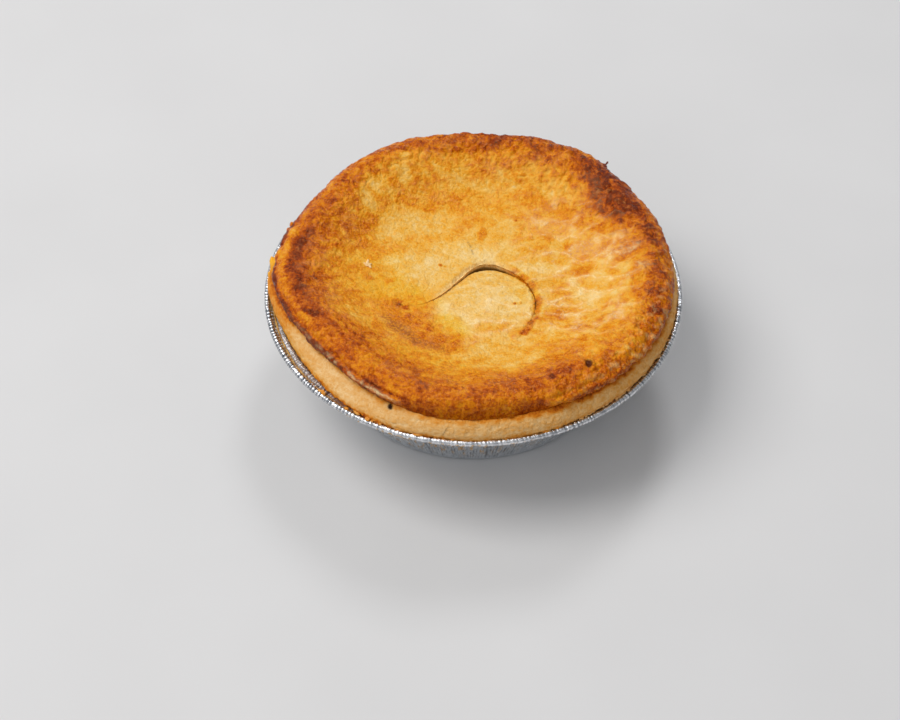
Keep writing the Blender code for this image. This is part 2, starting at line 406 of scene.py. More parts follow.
@dataclass(frozen=True)
class PieForm:
    """The outline that the lid, case and tin share. Sizes in millimetres, angles in degrees."""

    oval: float = 0.97
    rim_radius: float = 65.0
    rim_height: float = 32.3
    foot_radius: float = 44.4
    wall_top_radius: float = 59.9
    wall_top_height: float = 30.2
    ledge_radius: float = 62.5
    ledge_height: float = 31.3
    lid_seat: float = 38.1
    # The lid's skin from its middle to its lower edge: (distance along it, radius, height).
    skin_knots: tuple[Triple, ...] = (
        (0.0, 0.0, 36.0), (17.0, 17.0, 36.1), (33.0, 33.0, 37.4), (45.0, 45.0, 40.8),
        (53.0, 53.0, 43.3), (58.5, 58.0, 42.7), (62.5, 60.8, 40.4), (65.0, 60.2, 38.1),
    )
    # Where the edge is pushed in or out, where it stands higher, and where the lid alone is tucked in or
    # out: (angle, half width, amount).
    dents: tuple[Triple, ...] = (
        (148, 20, -1.4), (-141, 24, -4.6), (-97, 12, 0.8), (57, 16, 1.8), (180, 12, 1.8),
        (-22, 22, 0.7),
    )
    lifts: tuple[Triple, ...] = ((92, 62, 2.8), (-140, 30, -0.4))
    tucks: tuple[Triple, ...] = ((178, 11, -0.9), (150, 9, -0.9), (-139, 26, 0.9))

    @property
    def reach(self) -> float:
        """The distance along the lid's skin from its middle to its lower edge."""
        return self.skin_knots[-1][0]

    def lobes(self, angle: Array, table: Sequence[Triple]) -> Array:
        """The sum of soft bumps round the edge.

        Args:
            angle: where to read it, in radians.
            table: the bumps.

        Returns:
            One amount for each angle.
        """
        total = np.zeros_like(angle)
        for centre, half_width, size in table:
            off = np.degrees(angle) - centre
            off -= 360 * np.round(off / 360)
            total += size * bell(off, 0, half_width)
        return total

    def place(self, radius: Array, angle: Array, height: Array) -> Array:
        """Points of the pie on its oval plan."""
        return np.stack([radius * np.cos(angle), self.oval * radius * np.sin(angle), height], axis=1)

    def skin(self, flat: Array) -> Array:
        """The lid's smooth upper skin.

        Args:
            flat: (x, y) places on the skin laid flat, one row each.

        Returns:
            The points over those places.
        """
        distance = np.hypot(flat[:, 0], flat[:, 1])
        angle = np.arctan2(flat[:, 1], flat[:, 0])
        knots = np.asarray(self.skin_knots)
        fine = smooth_curve(knots[:, 1:], 64 * (len(knots) - 1))
        along = np.interp(np.linspace(0, len(knots) - 1, len(fine)), range(len(knots)), knots[:, 0])
        radius, height = (np.interp(distance, along, fine[:, k]) for k in (0, 1))
        outer = smooth_step(30.0, 56.0, distance)
        raised = outer * smooth_step(-1.0, 3.0, height - self.lid_seat)
        radius = radius + self.lobes(angle, self.dents + self.tucks) * outer
        return self.place(radius, angle, height + self.lobes(angle, self.lifts) * raised)

    def skin_normals(self, flat: Array) -> Array:
        """The directions in which the lid's skin faces.

        Args:
            flat: (x, y) places on the skin laid flat.

        Returns:
            One unit vector for each place.
        """
        step = 0.2
        east = self.skin(flat + (step, 0)) - self.skin(flat - (step, 0))
        north = self.skin(flat + (0, step)) - self.skin(flat - (0, step))
        facing = np.cross(east, north)
        return facing / np.linalg.norm(facing, axis=1, keepdims=True)

    def wall_radius(self, height: Array) -> Array:
        """The radius of the tin's wall at a height."""
        share = (height - 1.2) / (self.wall_top_height - 1.2)
        return self.foot_radius + (self.wall_top_radius - self.foot_radius) * share


@dataclass(frozen=True)
class VentCut:
    """The curled steam vent: its path on the flat skin, how wide it gapes and how far its flap sank."""

    knots: tuple[Pair, ...] = (
        (-22.6, -10.9), (-18.8, -11.4), (-15.0, -10.4), (-11.2, -7.9), (-8.0, -3.9), (-5.0, 1.2),
        (-1.7, 5.4), (3.1, 7.4), (8.2, 6.3), (12.9, 2.9), (16.5, -2.0), (18.6, -8.0), (18.3, -14.6),
        (15.9, -20.4), (13.8, -24.8),
    )
    # By the share of the way along from the left end: how wide the vent gapes.
    gaps: tuple[Pair, ...] = (
        (0.0, 0.02), (0.16, 0.03), (0.24, 0.16), (0.34, 0.22), (0.39, 0.5), (0.44, 1.2),
        (0.50, 1.2), (0.55, 0.6), (0.60, 0.16), (0.75, 0.14), (0.9, 0.10), (1.0, 0.05),
    )
    # How far the flap sank.
    drops: tuple[Pair, ...] = (
        (0.0, 0.0), (0.15, 0.10), (0.3, 1.2), (0.44, 1.9), (0.54, 1.6), (0.66, 0.75), (0.8, 0.45),
        (0.95, 0.15), (1.0, 0.0),
    )
    # How far the outer lip rolls down into the cut.
    rolls: tuple[Pair, ...] = (
        (0.0, 0.0), (0.17, 0.10), (0.26, 0.75), (0.42, 1.05), (0.52, 0.90), (0.62, 0.60),
        (0.8, 0.50), (1.0, 0.15),
    )
    lip: float = 0.35
    spread: float = 8.0
    steps: int = 220

    def path(self) -> Array:
        """The vent's path, evenly spread.

        Returns:
            The points, from the left end to the right one.
        """
        fine = smooth_curve(self.knots, 40 * (len(self.knots) - 1))
        run = np.concatenate([[0], np.cumsum(np.linalg.norm(np.diff(fine, axis=0), axis=1))])
        even = np.linspace(0, run[-1], self.steps + 1)
        return np.stack([np.interp(even, run, fine[:, k]) for k in (0, 1)], axis=1)

    def outward(self) -> Array:
        """The direction away from the flap at each point of the path.

        Returns:
            One (x, y) unit vector for each point.
        """
        along = np.gradient(self.path(), axis=0)
        along /= np.linalg.norm(along, axis=1, keepdims=True)
        return np.stack([-along[:, 1], along[:, 0]], axis=1)

    def nearest(self, flat: Array) -> tuple[Array, Array]:
        """Where places lie against the vent.

        Args:
            flat: (x, y) places on the flat skin.

        Returns:
            The share of the way along the path, and the distance from it, positive on the flap's side.
        """
        path, outward = self.path(), self.outward()
        share = np.zeros(len(flat))
        distance = np.full(len(flat), 99.0)
        close = np.hypot(flat[:, 0], flat[:, 1]) < 60
        for block in np.array_split(np.nonzero(close)[0], 40):
            off = flat[block][:, None, :] - path[None]
            found = np.argmin(np.sum(off * off, axis=2), axis=1)
            away = off[np.arange(len(block)), found]
            side = -np.sign(np.sum(away * outward[found], axis=1))
            share[block] = found / self.steps
            distance[block] = np.where(side == 0, 1, side) * np.linalg.norm(away, axis=1)
        return share, distance

    def shift(self, share: Array, distance: Array) -> Array:
        """How far the skin near the vent moves up (+) or down (-).

        Args:
            share: the share of the way along the path.
            distance: the distance from it, positive on the flap's side.

        Returns:
            The upward shift.
        """
        ends = np.sqrt(np.clip(np.sin(np.pi * share), 0, 1)) * smooth_step(0.06, 0.18, share)
        away = np.abs(distance)
        flap = -read_table(self.drops, share) * np.exp(-away / self.spread)
        flap -= 0.30 * ends * (1 - smooth_step(0.1, 1.0, away))
        roll = read_table(self.rolls, share) * (1 - smooth_step(0.15, 1.7, away))
        lip = self.lip * ends * bell(distance, 0, 3.6) - roll
        return np.where(distance > 0, flap, lip)

    def loop(self, extra: float = 0.0) -> Array:
        """The outline of the gap.

        Args:
            extra: how much wider than the gap it is on each side.

        Returns:
            The (x, y) points, out along one lip and back along the other.
        """
        share = np.linspace(0, 1, self.steps + 1)
        half = (read_table(self.gaps, share) / 2 + extra)[:, None] * self.outward()
        path = self.path()
        return np.concatenate([path + half, (path - half)[::-1]])


# ---- materials ----


class NodeSheet:
    """A material's nodes, added in short calls."""

    def __init__(self, name: str) -> None:
        """Starts a material with a Principled shader, and coordinates in millimetres.

        Args:
            name: the material's name.
        """
        self.material = bpy.data.materials.new(name)
        self.material.use_nodes = True
        self._tree = self.material.node_tree
        self.shader = self._tree.nodes["Principled BSDF"]
        place = self._add("TexCoord").outputs["Object"]
        scale = self._add("VectorMath", {0: place, "Scale": 1 / MM}, operation="SCALE")
        self.place: Socket = scale.outputs[0]

    def _feed(self, into: Socket, value: Feed) -> None:
        """Links a socket, or sets a plain value.

        Args:
            into: the socket to feed.
            value: another socket, or what to set it to.
        """
        if isinstance(value, bpy.types.NodeSocket):
            self._tree.links.new(value, into)
        else:
            into.default_value = value

    def _add(
        self, kind: str, feeds: dict[str | int, Feed] | None = None, **settings: str | bool
    ) -> bpy.types.Node:
        """Adds a node.

        Args:
            kind: the end of its type's name, after ShaderNode.
            feeds: what goes into its sockets, by their name or number.
            settings: its other settings.

        Returns:
            The node.
        """
        node = self._tree.nodes.new("ShaderNode" + kind)
        for name, value in settings.items():
            setattr(node, name, value)
        for socket, value in (feeds or {}).items():
            self._feed(node.inputs[socket], value)
        return node

    def set(self, **values: Feed) -> None:
        """Feeds the shader's sockets, named with underscores for spaces.

        Args:
            values: a socket, number or colour for each named socket.
        """
        for name, value in values.items():
            if isinstance(value, tuple) and len(value) == 3:
                value = (*value, 1.0)
            self._feed(self.shader.inputs[name.replace("_", " ")], value)

    def mark(self, name: str) -> Socket:
        """The value of a named mark at the surface's points.

        Args:
            name: the mark's name.

        Returns:
            The socket that gives it.
        """
        return self._add("Attribute", attribute_name=name).outputs["Fac"]

    def sum(self, *terms: Socket | float, operation: str = "ADD", clamp: bool = False) -> Socket:
        """Joins values by one operation, from left to right.

        Args:
            terms: sockets or numbers.
            operation: what joins them.
            clamp: whether each result is held between 0 and 1.

        Returns:
            The result.
        """
        total = terms[0]
        for term in terms[1:]:
            node = self._add("Math", {0: total, 1: term}, operation=operation, use_clamp=clamp)
            total = node.outputs[0]
        return total

    def times(self, *terms: Socket | float) -> Socket:
        """The product of values."""
        return self.sum(*terms, operation="MULTIPLY")

    def span(
        self, value: Socket, low: float, high: float, to_low: float = 0.0, to_high: float = 1.0
    ) -> Socket:
        """Maps one range to another and holds the ends, with a smooth rise.

        Args:
            value: what is read.
            low: the lower end of its range.
            high: the upper end.
            to_low: what the lower end becomes.
            to_high: what the upper end becomes.

        Returns:
            The mapped value.
        """
        ends = {"From Min": low, "From Max": high, "To Min": to_low, "To Max": to_high}
        node = self._add("MapRange", {"Value": value, **ends}, interpolation_type="SMOOTHSTEP")
        return node.outputs["Result"]

    def stretched(self, factors: Sequence[float], place: Socket | None = None) -> Socket:
        """The coordinates multiplied by a factor along each axis.

        Args:
            factors: one for each axis.
            place: the coordinates; the sheet's own ones if left out.

        Returns:
            The new coordinates.
        """
        node = self._add("VectorMath", {0: place or self.place, 1: factors}, operation="MULTIPLY")
        return node.outputs[0]

    def bent(self, size: float, amount: float, place: Socket | None = None) -> Socket:
        """The coordinates pushed about by noise. Lengths are in millimetres.

        Args:
            size: the width of the noise's lumps.
            amount: how far it pushes.
            place: the coordinates; the sheet's own ones if left out.

        Returns:
            The new coordinates.
        """
        place = place or self.place
        noise = self._add("TexNoise", {"Scale": 1 / size, "Detail": 2, "Vector": place})
        terms = {0: noise.outputs["Color"], 1: (2 * amount,) * 3, 2: place}
        return self._add("VectorMath", terms, operation="MULTIPLY_ADD").outputs[0]

    def noise(
        self, size: float, detail: float = 3.0, rough: float = 0.55, place: Socket | None = None
    ) -> Socket:
        """Noise of 0 to 1.

        Args:
            size: the width of its lumps, in millimetres.
            detail: how many finer layers lie on them.
            rough: how strong those layers are.
            place: where it is read; the sheet's own coordinates if left out.

        Returns:
            The noise.
        """
        feeds = {"Scale": 1 / size, "Detail": detail, "Roughness": rough, "Vector": place or self.place}
        return self._add("TexNoise", feeds).outputs["Fac"]

    def ramp(self, value: Socket, stops: Sequence[tuple[float, Colour]]) -> Socket:
        """Reads a colour ramp.

        Args:
            value: where the ramp is read, 0 to 1.
            stops: the ramp's (place, colour) rows.

        Returns:
            The colour.
        """
        node = self._add("ValToRGB", {"Fac": value})
        band = node.color_ramp.elements
        while len(band) < len(stops):
            band.new(0.5)
        for element, (place, colour) in zip(band, stops):
            element.position = place
            element.color = (*colour, 1.0)
        return node.outputs["Color"]

    def mix(
        self, share: Socket | float, base: Socket | Colour, top: Socket | Colour, blend: str = "MIX"
    ) -> Socket:
        """Lays one colour over another.

        Args:
            share: how much of the upper colour shows.
            base: the lower colour.
            top: the upper colour.
            blend: how they join.

        Returns:
            The mixed colour.
        """
        base, top = ((*value, 1.0) if isinstance(value, tuple) else value for value in (base, top))
        return self._add("Mix", {0: share, 6: base, 7: top}, data_type="RGBA", blend_type=blend).outputs[2]

    def bump(self, height: Socket, depth: float) -> Socket:
        """A surface normal that follows a relief.

        Args:
            height: the relief, 0 to 1.
            depth: what 1 stands for, in millimetres.

        Returns:
            The normal.
        """
        return self._add("Bump", {"Distance": depth * MM, "Height": height}).outputs["Normal"]


class Bake(Enum):
    """Colours of pastry as it browns, from pale dough to burnt edge."""

    CREAM = from_screen(238, 203, 136)
    STRAW = from_screen(234, 184, 90)
    GOLD = from_screen(232, 164, 46)
    AMBER = from_screen(224, 140, 14)
    ORANGE = from_screen(212, 118, 2)
    COPPER = from_screen(186, 86, 0)
    MAHOGANY = from_screen(150, 56, 0)
    BURNT = from_screen(104, 30, 2)


@dataclass(frozen=True)
class BakedLid:
    """Egg-washed shortcrust: mottled gold in the middle, glossy mahogany where the edge caught."""

    name: str = "baked_lid"
    # How much patches, lumps and pores shift the browning, how strongly the painted glints lighten the
    # colour, and how deep the finest grain is.
    patchy: float = 0.08
    mottle: float = 0.11
    fleck: float = 0.10
    painted_glint: float = 0.30
    grain_depth: float = 0.36

    def material(self) -> Material:
        """Builds the material from its marks: browning with painted mound shading, egg wash, stain, cut
        crumb, soot, and pale wrinkles with the painted lip highlight.

        Returns:
            The material.
        """
        sheet = NodeSheet(self.name)
        toast, wash = sheet.mark("toast"), sheet.mark("wash")
        stain, cut, soot = sheet.mark("stain"), sheet.mark("cut"), sheet.mark("soot")
        bent = sheet.bent(3.0, 1.4)
        lumps, pores = sheet.noise(2.6, 4.0, 0.65, bent), sheet.noise(0.85, 2.0, 0.55)
        patches = sheet.span(sheet.noise(6.5, 4.0, 0.62, bent), 0.44, 0.58, -0.5, 0.5)
        broad = sheet.span(lumps, 0.36, 0.64, -0.5, 0.5)
        fine = sheet.span(pores, 0.38, 0.62, -0.5, 0.5)
        glints = sheet.span(sheet.noise(1.7, 3.0, 0.65, sheet.bent(2.2, 0.9)), 0.55, 0.68)
        lively = sheet.span(toast, 0.10, 0.6, 0.9, 1.5)
        shift = sheet.times(
            sheet.sum(
                sheet.times(patches, self.patchy),
                sheet.times(broad, self.mottle),
                sheet.times(fine, self.fleck),
            ),
            lively,
        )
        level = sheet.sum(toast, shift, clamp=True)
        stops = zip((0.0, 0.14, 0.3, 0.44, 0.58, 0.72, 0.86, 1.0), (shade.value for shade in Bake))
        colour = sheet.ramp(level, list(stops))
        # Pale wrinkles, and the painted highlight along the front left lip, mix the colour towards cream.
        vein_and_gloss = sheet.times(sheet.mark("vein_and_gloss"), sheet.span(fine, -0.4, 0.2, 0.4, 1.0))
        colour = sheet.mix(sheet.times(vein_and_gloss, 0.85), colour, from_screen(248, 220, 164))
        # Painted highlights: the glint spots mix the colour towards pale cream, turning orange where the
        # crust is browner.
        painted_sheen = sheet.times(glints, sheet.span(toast, 0.2, 0.7, 0.6 * self.painted_glint, self.painted_glint))
        painted_glint_colour = sheet.ramp(toast, [(0.3, from_screen(250, 196, 120)), (0.6, from_screen(240, 150, 70))])
        colour = sheet.mix(painted_sheen, colour, painted_glint_colour)
        yellow = sheet.times(wash, sheet.span(broad, -0.5, 0.4, 0.65, 1.0))
        colour = sheet.mix(yellow, colour, (0.97, 0.90, 0.22), "MULTIPLY")
        umber = sheet.ramp(patches, [(0.0, from_screen(172, 98, 40)), (0.5, from_screen(202, 134, 62))])
        colour = sheet.mix(sheet.times(stain, sheet.span(fine, -0.4, 0.3, 0.35, 1.0)), colour, umber)
        flour = [(0.34, from_screen(230, 172, 92)), (0.6, from_screen(252, 218, 152))]
        crumb = sheet.ramp(sheet.noise(0.8, 3.0, 0.7), flour)
        colour = sheet.mix(cut, colour, crumb)
        colour = sheet.mix(soot, colour, from_screen(84, 30, 8))
        relief = sheet.sum(
            sheet.times(glints, 0.25),
            sheet.times(pores, 1.7),
            sheet.times(lumps, 1.5),
        )
        relief = sheet.times(relief, sheet.span(toast, 0.30, 0.60, 0.75, 1.0))
        gloss = sheet.sum(
            sheet.span(level, 0.20, 0.80, 0.46, 0.20),
            sheet.times(fine, 0.12),
            sheet.times(cut, 0.4),
            clamp=True,
        )
        sheet.set(
            Base_Color=colour,
            Roughness=gloss,
            Normal=sheet.bump(relief, self.grain_depth),
            Specular_IOR_Level=0.30,
            Specular_Tint=(1.0, 0.70, 0.36),
        )
        return sheet.material


@dataclass(frozen=True)
class PaleCrust:
    """The dry side of the case: cream above, browned where the tin's hot rim touched it."""

    name: str = "pale_crust"

    def material(self) -> Material:
        """Builds the material. It reads the marks of browning with the painted shadow under the lid, egg
        wash and soot.

        Returns:
            The material.
        """
        sheet = NodeSheet(self.name)
        brown, wash, soot = sheet.mark("brown"), sheet.mark("wash"), sheet.mark("soot")
        flaky = sheet.noise(1.9, 4.0, 0.68, sheet.stretched((0.6, 0.6, 1.8)))
        pores = sheet.noise(0.9, 2.0, 0.6)
        layers = sheet.span(flaky, 0.34, 0.66, -0.5, 0.5)
        fine = sheet.span(pores, 0.36, 0.64, -0.5, 0.5)
        level = sheet.sum(brown, sheet.times(layers, 0.17), sheet.times(fine, 0.13), clamp=True)
        stops = [
            (0.0, from_screen(242, 204, 148)), (0.2, from_screen(232, 180, 112)),
            (0.4, from_screen(224, 156, 72)), (0.58, from_screen(216, 128, 26)),
            (0.74, from_screen(184, 88, 8)), (0.88, from_screen(124, 54, 8)),
            (1.0, from_screen(70, 30, 10)),
        ]
        colour = sheet.ramp(level, stops)
        colour = sheet.mix(wash, colour, from_screen(238, 176, 36))
        colour = sheet.mix(soot, colour, from_screen(40, 18, 10))
        relief = sheet.sum(sheet.times(flaky, 1.4), sheet.times(pores, 1.4))
        sheet.set(
            Base_Color=colour,
            Roughness=sheet.span(level, 0.3, 0.9, 0.75, 0.42),
            Normal=sheet.bump(relief, 0.26),
            Specular_IOR_Level=0.2,
            Specular_Tint=(1.0, 0.8, 0.55),
        )
        return sheet.material


@dataclass(frozen=True)
class CrimpedFoil:
    """Thin bright foil, finely creased and smeared here and there with fat."""

    name: str = "crimped_foil"
    roughness: float = 0.20

    def material(self) -> Material:
        """Builds the material. It reads the marks grease, shade, fold and frost.

        Returns:
            The material.
        """
        sheet = NodeSheet(self.name)
        grease = sheet.times(sheet.mark("grease"), sheet.span(sheet.noise(1.3, 3.0, 0.65), 0.38, 0.50))
        crease = sheet.noise(0.9, 4.0, 0.65, sheet.stretched((1.2, 1.2, 0.3)))
        # Painted shade: the colour follows the crease noise that also drives the bump, darker in its
        # hollows.
        bright = sheet.ramp(crease, [(0.32, (0.58, 0.60, 0.64)), (0.62, (0.93, 0.93, 0.95))])
        # Painted shade and reflection: the wall below 27 mm takes a slightly dimmer, bluer ramp, for the
        # dim bluish surroundings that it reflects.
        dim = sheet.ramp(crease, [(0.34, (0.56, 0.60, 0.65)), (0.62, (0.90, 0.93, 0.96))])
        colour = sheet.mix(sheet.mark("shade"), bright, dim)
        # Painted shade: sunken creases are darkened towards a dark blue-grey.
        colour = sheet.mix(sheet.times(sheet.mark("fold"), 0.9), colour, (0.07, 0.09, 0.12))
        colour = sheet.mix(grease, colour, from_screen(206, 156, 70))
        dull = sheet.sum(self.roughness - 0.08, sheet.times(sheet.noise(2.5, 4.0, 0.6), 0.24))
        dull = sheet.sum(dull, sheet.times(sheet.mark("frost"), 0.12))
        sheet.set(
            Base_Color=colour,
            Metallic=sheet.span(grease, 0.0, 1.0, 1.0, 0.3),
            Roughness=dull,
            Normal=sheet.bump(crease, 0.24),
        )
        return sheet.material


@dataclass(frozen=True)
class LumpyFinish:
    """A finish whose colour, gloss and relief all follow one lumpy noise."""

    name: str
    # The noise: the width of its lumps, its finer layers and their strength.
    lumps: Triple
    # Where on the noise the darker and the lighter tone lie.
    tones: tuple[tuple[float, Colour], tuple[float, Colour]]
    roughness: Pair
    depth: float

    def material(self) -> Material:
        """Builds the material.

        Returns:
            The material.
        """
        sheet = NodeSheet(self.name)
        lumps = sheet.noise(*self.lumps)
        sheet.set(
            Base_Color=sheet.ramp(lumps, self.tones),
            Roughness=sheet.span(lumps, 0.3, 0.7, *self.roughness),
            Normal=sheet.bump(lumps, self.depth),
        )
        return sheet.material


# Dark, wet filling.
GRAVY = LumpyFinish(
    name="gravy",
    lumps=(2.4, 4.0, 0.6),
    tones=((0.3, from_screen(84, 36, 14)), (0.7, from_screen(156, 80, 34))),
    roughness=(0.18, 0.4),
    depth=0.5,
)
# Juice and fat that ran down inside the tin and set to an amber glaze.
BAKED_JUICE = LumpyFinish(
    name="baked_juice",
    lumps=(2.2, 3.0, 0.6),
    tones=((0.35, from_screen(150, 98, 40)), (0.65, from_screen(208, 166, 90))),
    roughness=(0.2, 0.35),
    depth=0.3,
)
# The crumb on the far edge, baked dark red-brown.
BURNT_CRUMB = LumpyFinish(
    name="burnt_crumb",
    lumps=(0.5, 3.0, 0.6),
    tones=((0.3, from_screen(84, 34, 24)), (0.7, from_screen(150, 70, 48))),
    roughness=(0.35, 0.6),
    depth=0.15,
)


@dataclass(frozen=True)
class PlainFloor:
    """A plain pale table top."""

    name: str = "plain_floor"

    def material(self) -> Material:
        """Builds the material.

        Returns:
            The material.
        """
        sheet = NodeSheet(self.name)
        tone = sheet.noise(60.0, 2.0, 0.5)
        colour = sheet.ramp(tone, [(0.3, (0.64, 0.635, 0.64)), (0.7, (0.66, 0.655, 0.66))])
        sheet.set(Base_Color=colour, Roughness=0.55, Specular_IOR_Level=0.3)
        return sheet.material


# ---- the lid ----


@dataclass(frozen=True)
class Patch:
    """A soft-edged oval on the flat skin, in millimetres and degrees, and the amount that it adds."""

    x: float
    y: float
    long: float
    wide: float
    turn: float
    amount: float

    def over(self, flat: Array, ragged: Array) -> Array:
        """What the patch adds at each place.

        Args:
            flat: (x, y) places on the flat skin.
            ragged: noise of about -1 to 1, which frays the patch's edge.

        Returns:
            The amounts.
        """
        turn = math.radians(self.turn)
        off = flat - (self.x, self.y)
        along = off @ (math.cos(turn), math.sin(turn)) / self.long
        across = off @ (-math.sin(turn), math.cos(turn)) / self.wide
        out = np.hypot(along, across) + 0.3 * ragged
        return self.amount * (1 - smooth_step(0.45, 1.35, out))


@dataclass(frozen=True)
class Streak:
    """A streak along the edge of the flat skin, in degrees and millimetres, and the amount it adds."""

    angle: float
    half_angle: float
    distance: float
    half_width: float
    amount: float


@dataclass
class PastryLid:
    """The sunken, browned lid with its curled vent."""

    form: PieForm = field(default_factory=PieForm)
    vent: VentCut = field(default_factory=VentCut)
    spacing: float = 0.45
    wall_rows: int = 5
    thickness: float = 3.0
    seed: int = 11
    # The height that no blister passes, and how far below it they start to flatten.
    crown: float = 47.3
    crown_roll: float = 0.8
    # The spacing of points along the lower edge and on the underside, and how far out the latter go.
    edge_step: float = 0.5
    under_step: float = 3.5
    under_reach: float = 55.0
    pin_hole: Pair = (33.5, -43.1)
    # How brown the lid is from its middle (0) to its lower edge (65).
    bake: tuple[Pair, ...] = (
        (0, 0.16), (14, 0.18), (20, 0.23), (26, 0.30), (31, 0.33), (36, 0.36), (40, 0.38),
        (44, 0.42), (47, 0.50), (50, 0.60), (53, 0.66), (56, 0.66), (59, 0.64), (62, 0.70),
        (63.6, 0.78), (65, 0.62),
    )
    # Where it is browner or paler than that, and where egg wash makes it yellower.
    browner: tuple[Patch, ...] = (
        Patch(-46, 2, 21, 6, 88, 0.10), Patch(-36, 20, 9, 7, 60, 0.10),
        Patch(-18, -12, 8, 4.5, -30, 0.15), Patch(-13, -19, 8, 4, -48, 0.14),
        Patch(-20, -21, 12, 5.5, -48, 0.18), Patch(-10, -29, 8, 4.5, -18, 0.22),
        Patch(-34, -31, 8, 6, -45, 0.14), Patch(-24, -39, 9, 5, -30, 0.08),
        Patch(38, 23, 9, 5, -60, 0.10), Patch(43, 32, 15, 8, -55, 0.30),
        Patch(54, 15, 9, 3, -75, 0.18), Patch(49, 24, 6, 3, -60, 0.12),
        Patch(-60.2, 15.1, 5, 1.5, 76, 0.30), Patch(15, 54, 17, 5, -15, 0.08),
        Patch(-4, 56, 10, 4, 3, 0.06), Patch(2.9, 20, 1.6, 3.0, 0, 0.24),
        Patch(2.5, 14, 0.9, 0.9, 0, 0.20), Patch(26, -45, 8, 3.0, 30, 0.14),
        Patch(39.5, -37, 6, 2.6, 48, 0.14), Patch(53.5, -22.5, 7, 2, 68, 0.14),
        Patch(11.4, -58.9, 5, 1.8, 11, 0.22), Patch(-1.6, -60.8, 2.4, 1.3, 0, 0.18),
        Patch(-7.3, -59.0, 2.6, 1.3, -5, 0.18), Patch(0, -50, 24, 5, 2, 0.06),
        Patch(-10, 33, 8, 4, 10, 0.08), Patch(55, -8, 8, 2.5, 80, 0.12),
        Patch(22, 29, 5, 3, 30, 0.10), Patch(31, 2, 5, 2.2, 10, 0.12),
        Patch(27, -17, 6, 2.5, -12, 0.12), Patch(38, 12, 5, 2.5, -20, 0.12),
        Patch(-51.4, -22.2, 3.2, 1.1, -34, 0.34), Patch(-46, -27, 4, 2, -40, 0.14),
    )
    paler: tuple[Patch, ...] = (
        Patch(9, -34, 13, 9, -8, -0.14), Patch(42, -31, 14, 8, 53, -0.20),
        Patch(33, -38, 6, 3, 40, -0.08), Patch(40, -8, 13, 13, 0, -0.15),
        Patch(-22, 23, 8, 7, 0, -0.14), Patch(-19, 6, 10, 7, 0, -0.12),
        Patch(25, 36, 8, 5, -30, -0.13), Patch(-16, 46, 13, 5, 12, -0.12),
        Patch(-31, 39, 8, 4, 40, -0.10), Patch(4, -9, 13, 11, 0, -0.07),
        Patch(0, 12, 12, 3.5, -10, -0.12), Patch(5, 30, 6, 4, 20, -0.06),
        Patch(-8, 40, 7, 4, 0, -0.08), Patch(-62.5, 6, 5, 2.6, 88, -0.30),
        Patch(7, 40, 10, 4.5, -10, -0.11), Patch(-33, 32, 8, 4, 45, -0.13),
        Patch(-24, 41, 12, 6, 32, -0.10), Patch(-13, 27, 9, 3.5, 20, -0.07),
        Patch(-6, -17, 8, 4, -35, -0.09),
    )
    washed: tuple[Patch, ...] = (
        Patch(-22, -7, 12, 6, -20, 0.95), Patch(-8, -22, 9, 6, -50, 0.95),
        Patch(-14, -40, 18, 8, -22, 0.75), Patch(-33, 0, 13, 14, 0, 0.60),
        Patch(-38, -32, 14, 8, -50, 0.55), Patch(15, -4, 4, 12, 20, 0.35),
        Patch(10, 34, 18, 9, 0, 0.12), Patch(48, -4, 10, 12, 0, 0.25),
        Patch(22, 16, 14, 9, 0, 0.15),
    )
    # Browner and paler lines that run with the edge.
    streaks: tuple[Streak, ...] = (
        Streak(176, 22, 58.6, 1.5, -0.15), Streak(182, 24, 54.4, 2.6, 0.30),
        Streak(182, 24, 62.0, 1.2, 0.22), Streak(244, 22, 60.3, 0.5, 0.22),
        Streak(244, 26, 62.3, 0.9, -0.14),
    )
    # Browned specks on the flat skin: (x, y, half width, how much browner).
    specks: tuple[Quad, ...] = (
        (-10.6, 6.6, 0.6, 0.60), (-9.4, 6.2, 0.4, 0.45), (12.6, -10.6, 0.55, 0.55),
        (14.3, -10.5, 0.45, 0.40), (-23.0, -10.6, 1.6, 0.35), (-20.6, -12.4, 1.1, 0.40),
        (22.9, -48.2, 0.9, 0.35), (13.5, 25.2, 0.5, 0.40), (-42.0, 36.5, 0.6, 0.30),
        (8.8, -2.4, 0.4, 0.30),
    )
    # Hairline cracks on the flat skin: (start x, start y, end x, end y).
    cracks: tuple[Quad, ...] = (
        (-1.6, 16.4, -0.6, 14.4), (-0.5, 13.4, 0.1, 11.6), (-24.6, -9.4, -22.4, -11.2),
    )

    def _angle(self, flat: Array) -> Array:
        """The angle of each flat place, in degrees from 0 to 360."""
        return np.degrees(np.arctan2(flat[:, 1], flat[:, 0])) % 360

    def _round_about(self, flat: Array, centre: float, half_width: float) -> Array:
        """A soft share of 1 at an angle in degrees, fading to 0 on both sides of it."""
        off = (self._angle(flat) - centre + 180) % 360 - 180
        return bell(off, 0, half_width)

    def _along_edge(self, flat: Array, arc: float, out: float) -> Array:
        """Flat places as points that run with the edge, for marks drawn along or across it.

        Args:
            flat: (x, y) places on the flat skin.
            arc: how many millimetres a radian counts as.
            out: how many millimetres one millimetre away from the middle counts as.

        Returns:
            The points.
        """
        distance = np.hypot(*flat.T)
        return np.column_stack([np.radians(self._angle(flat)) * arc, distance * out, 0 * distance])

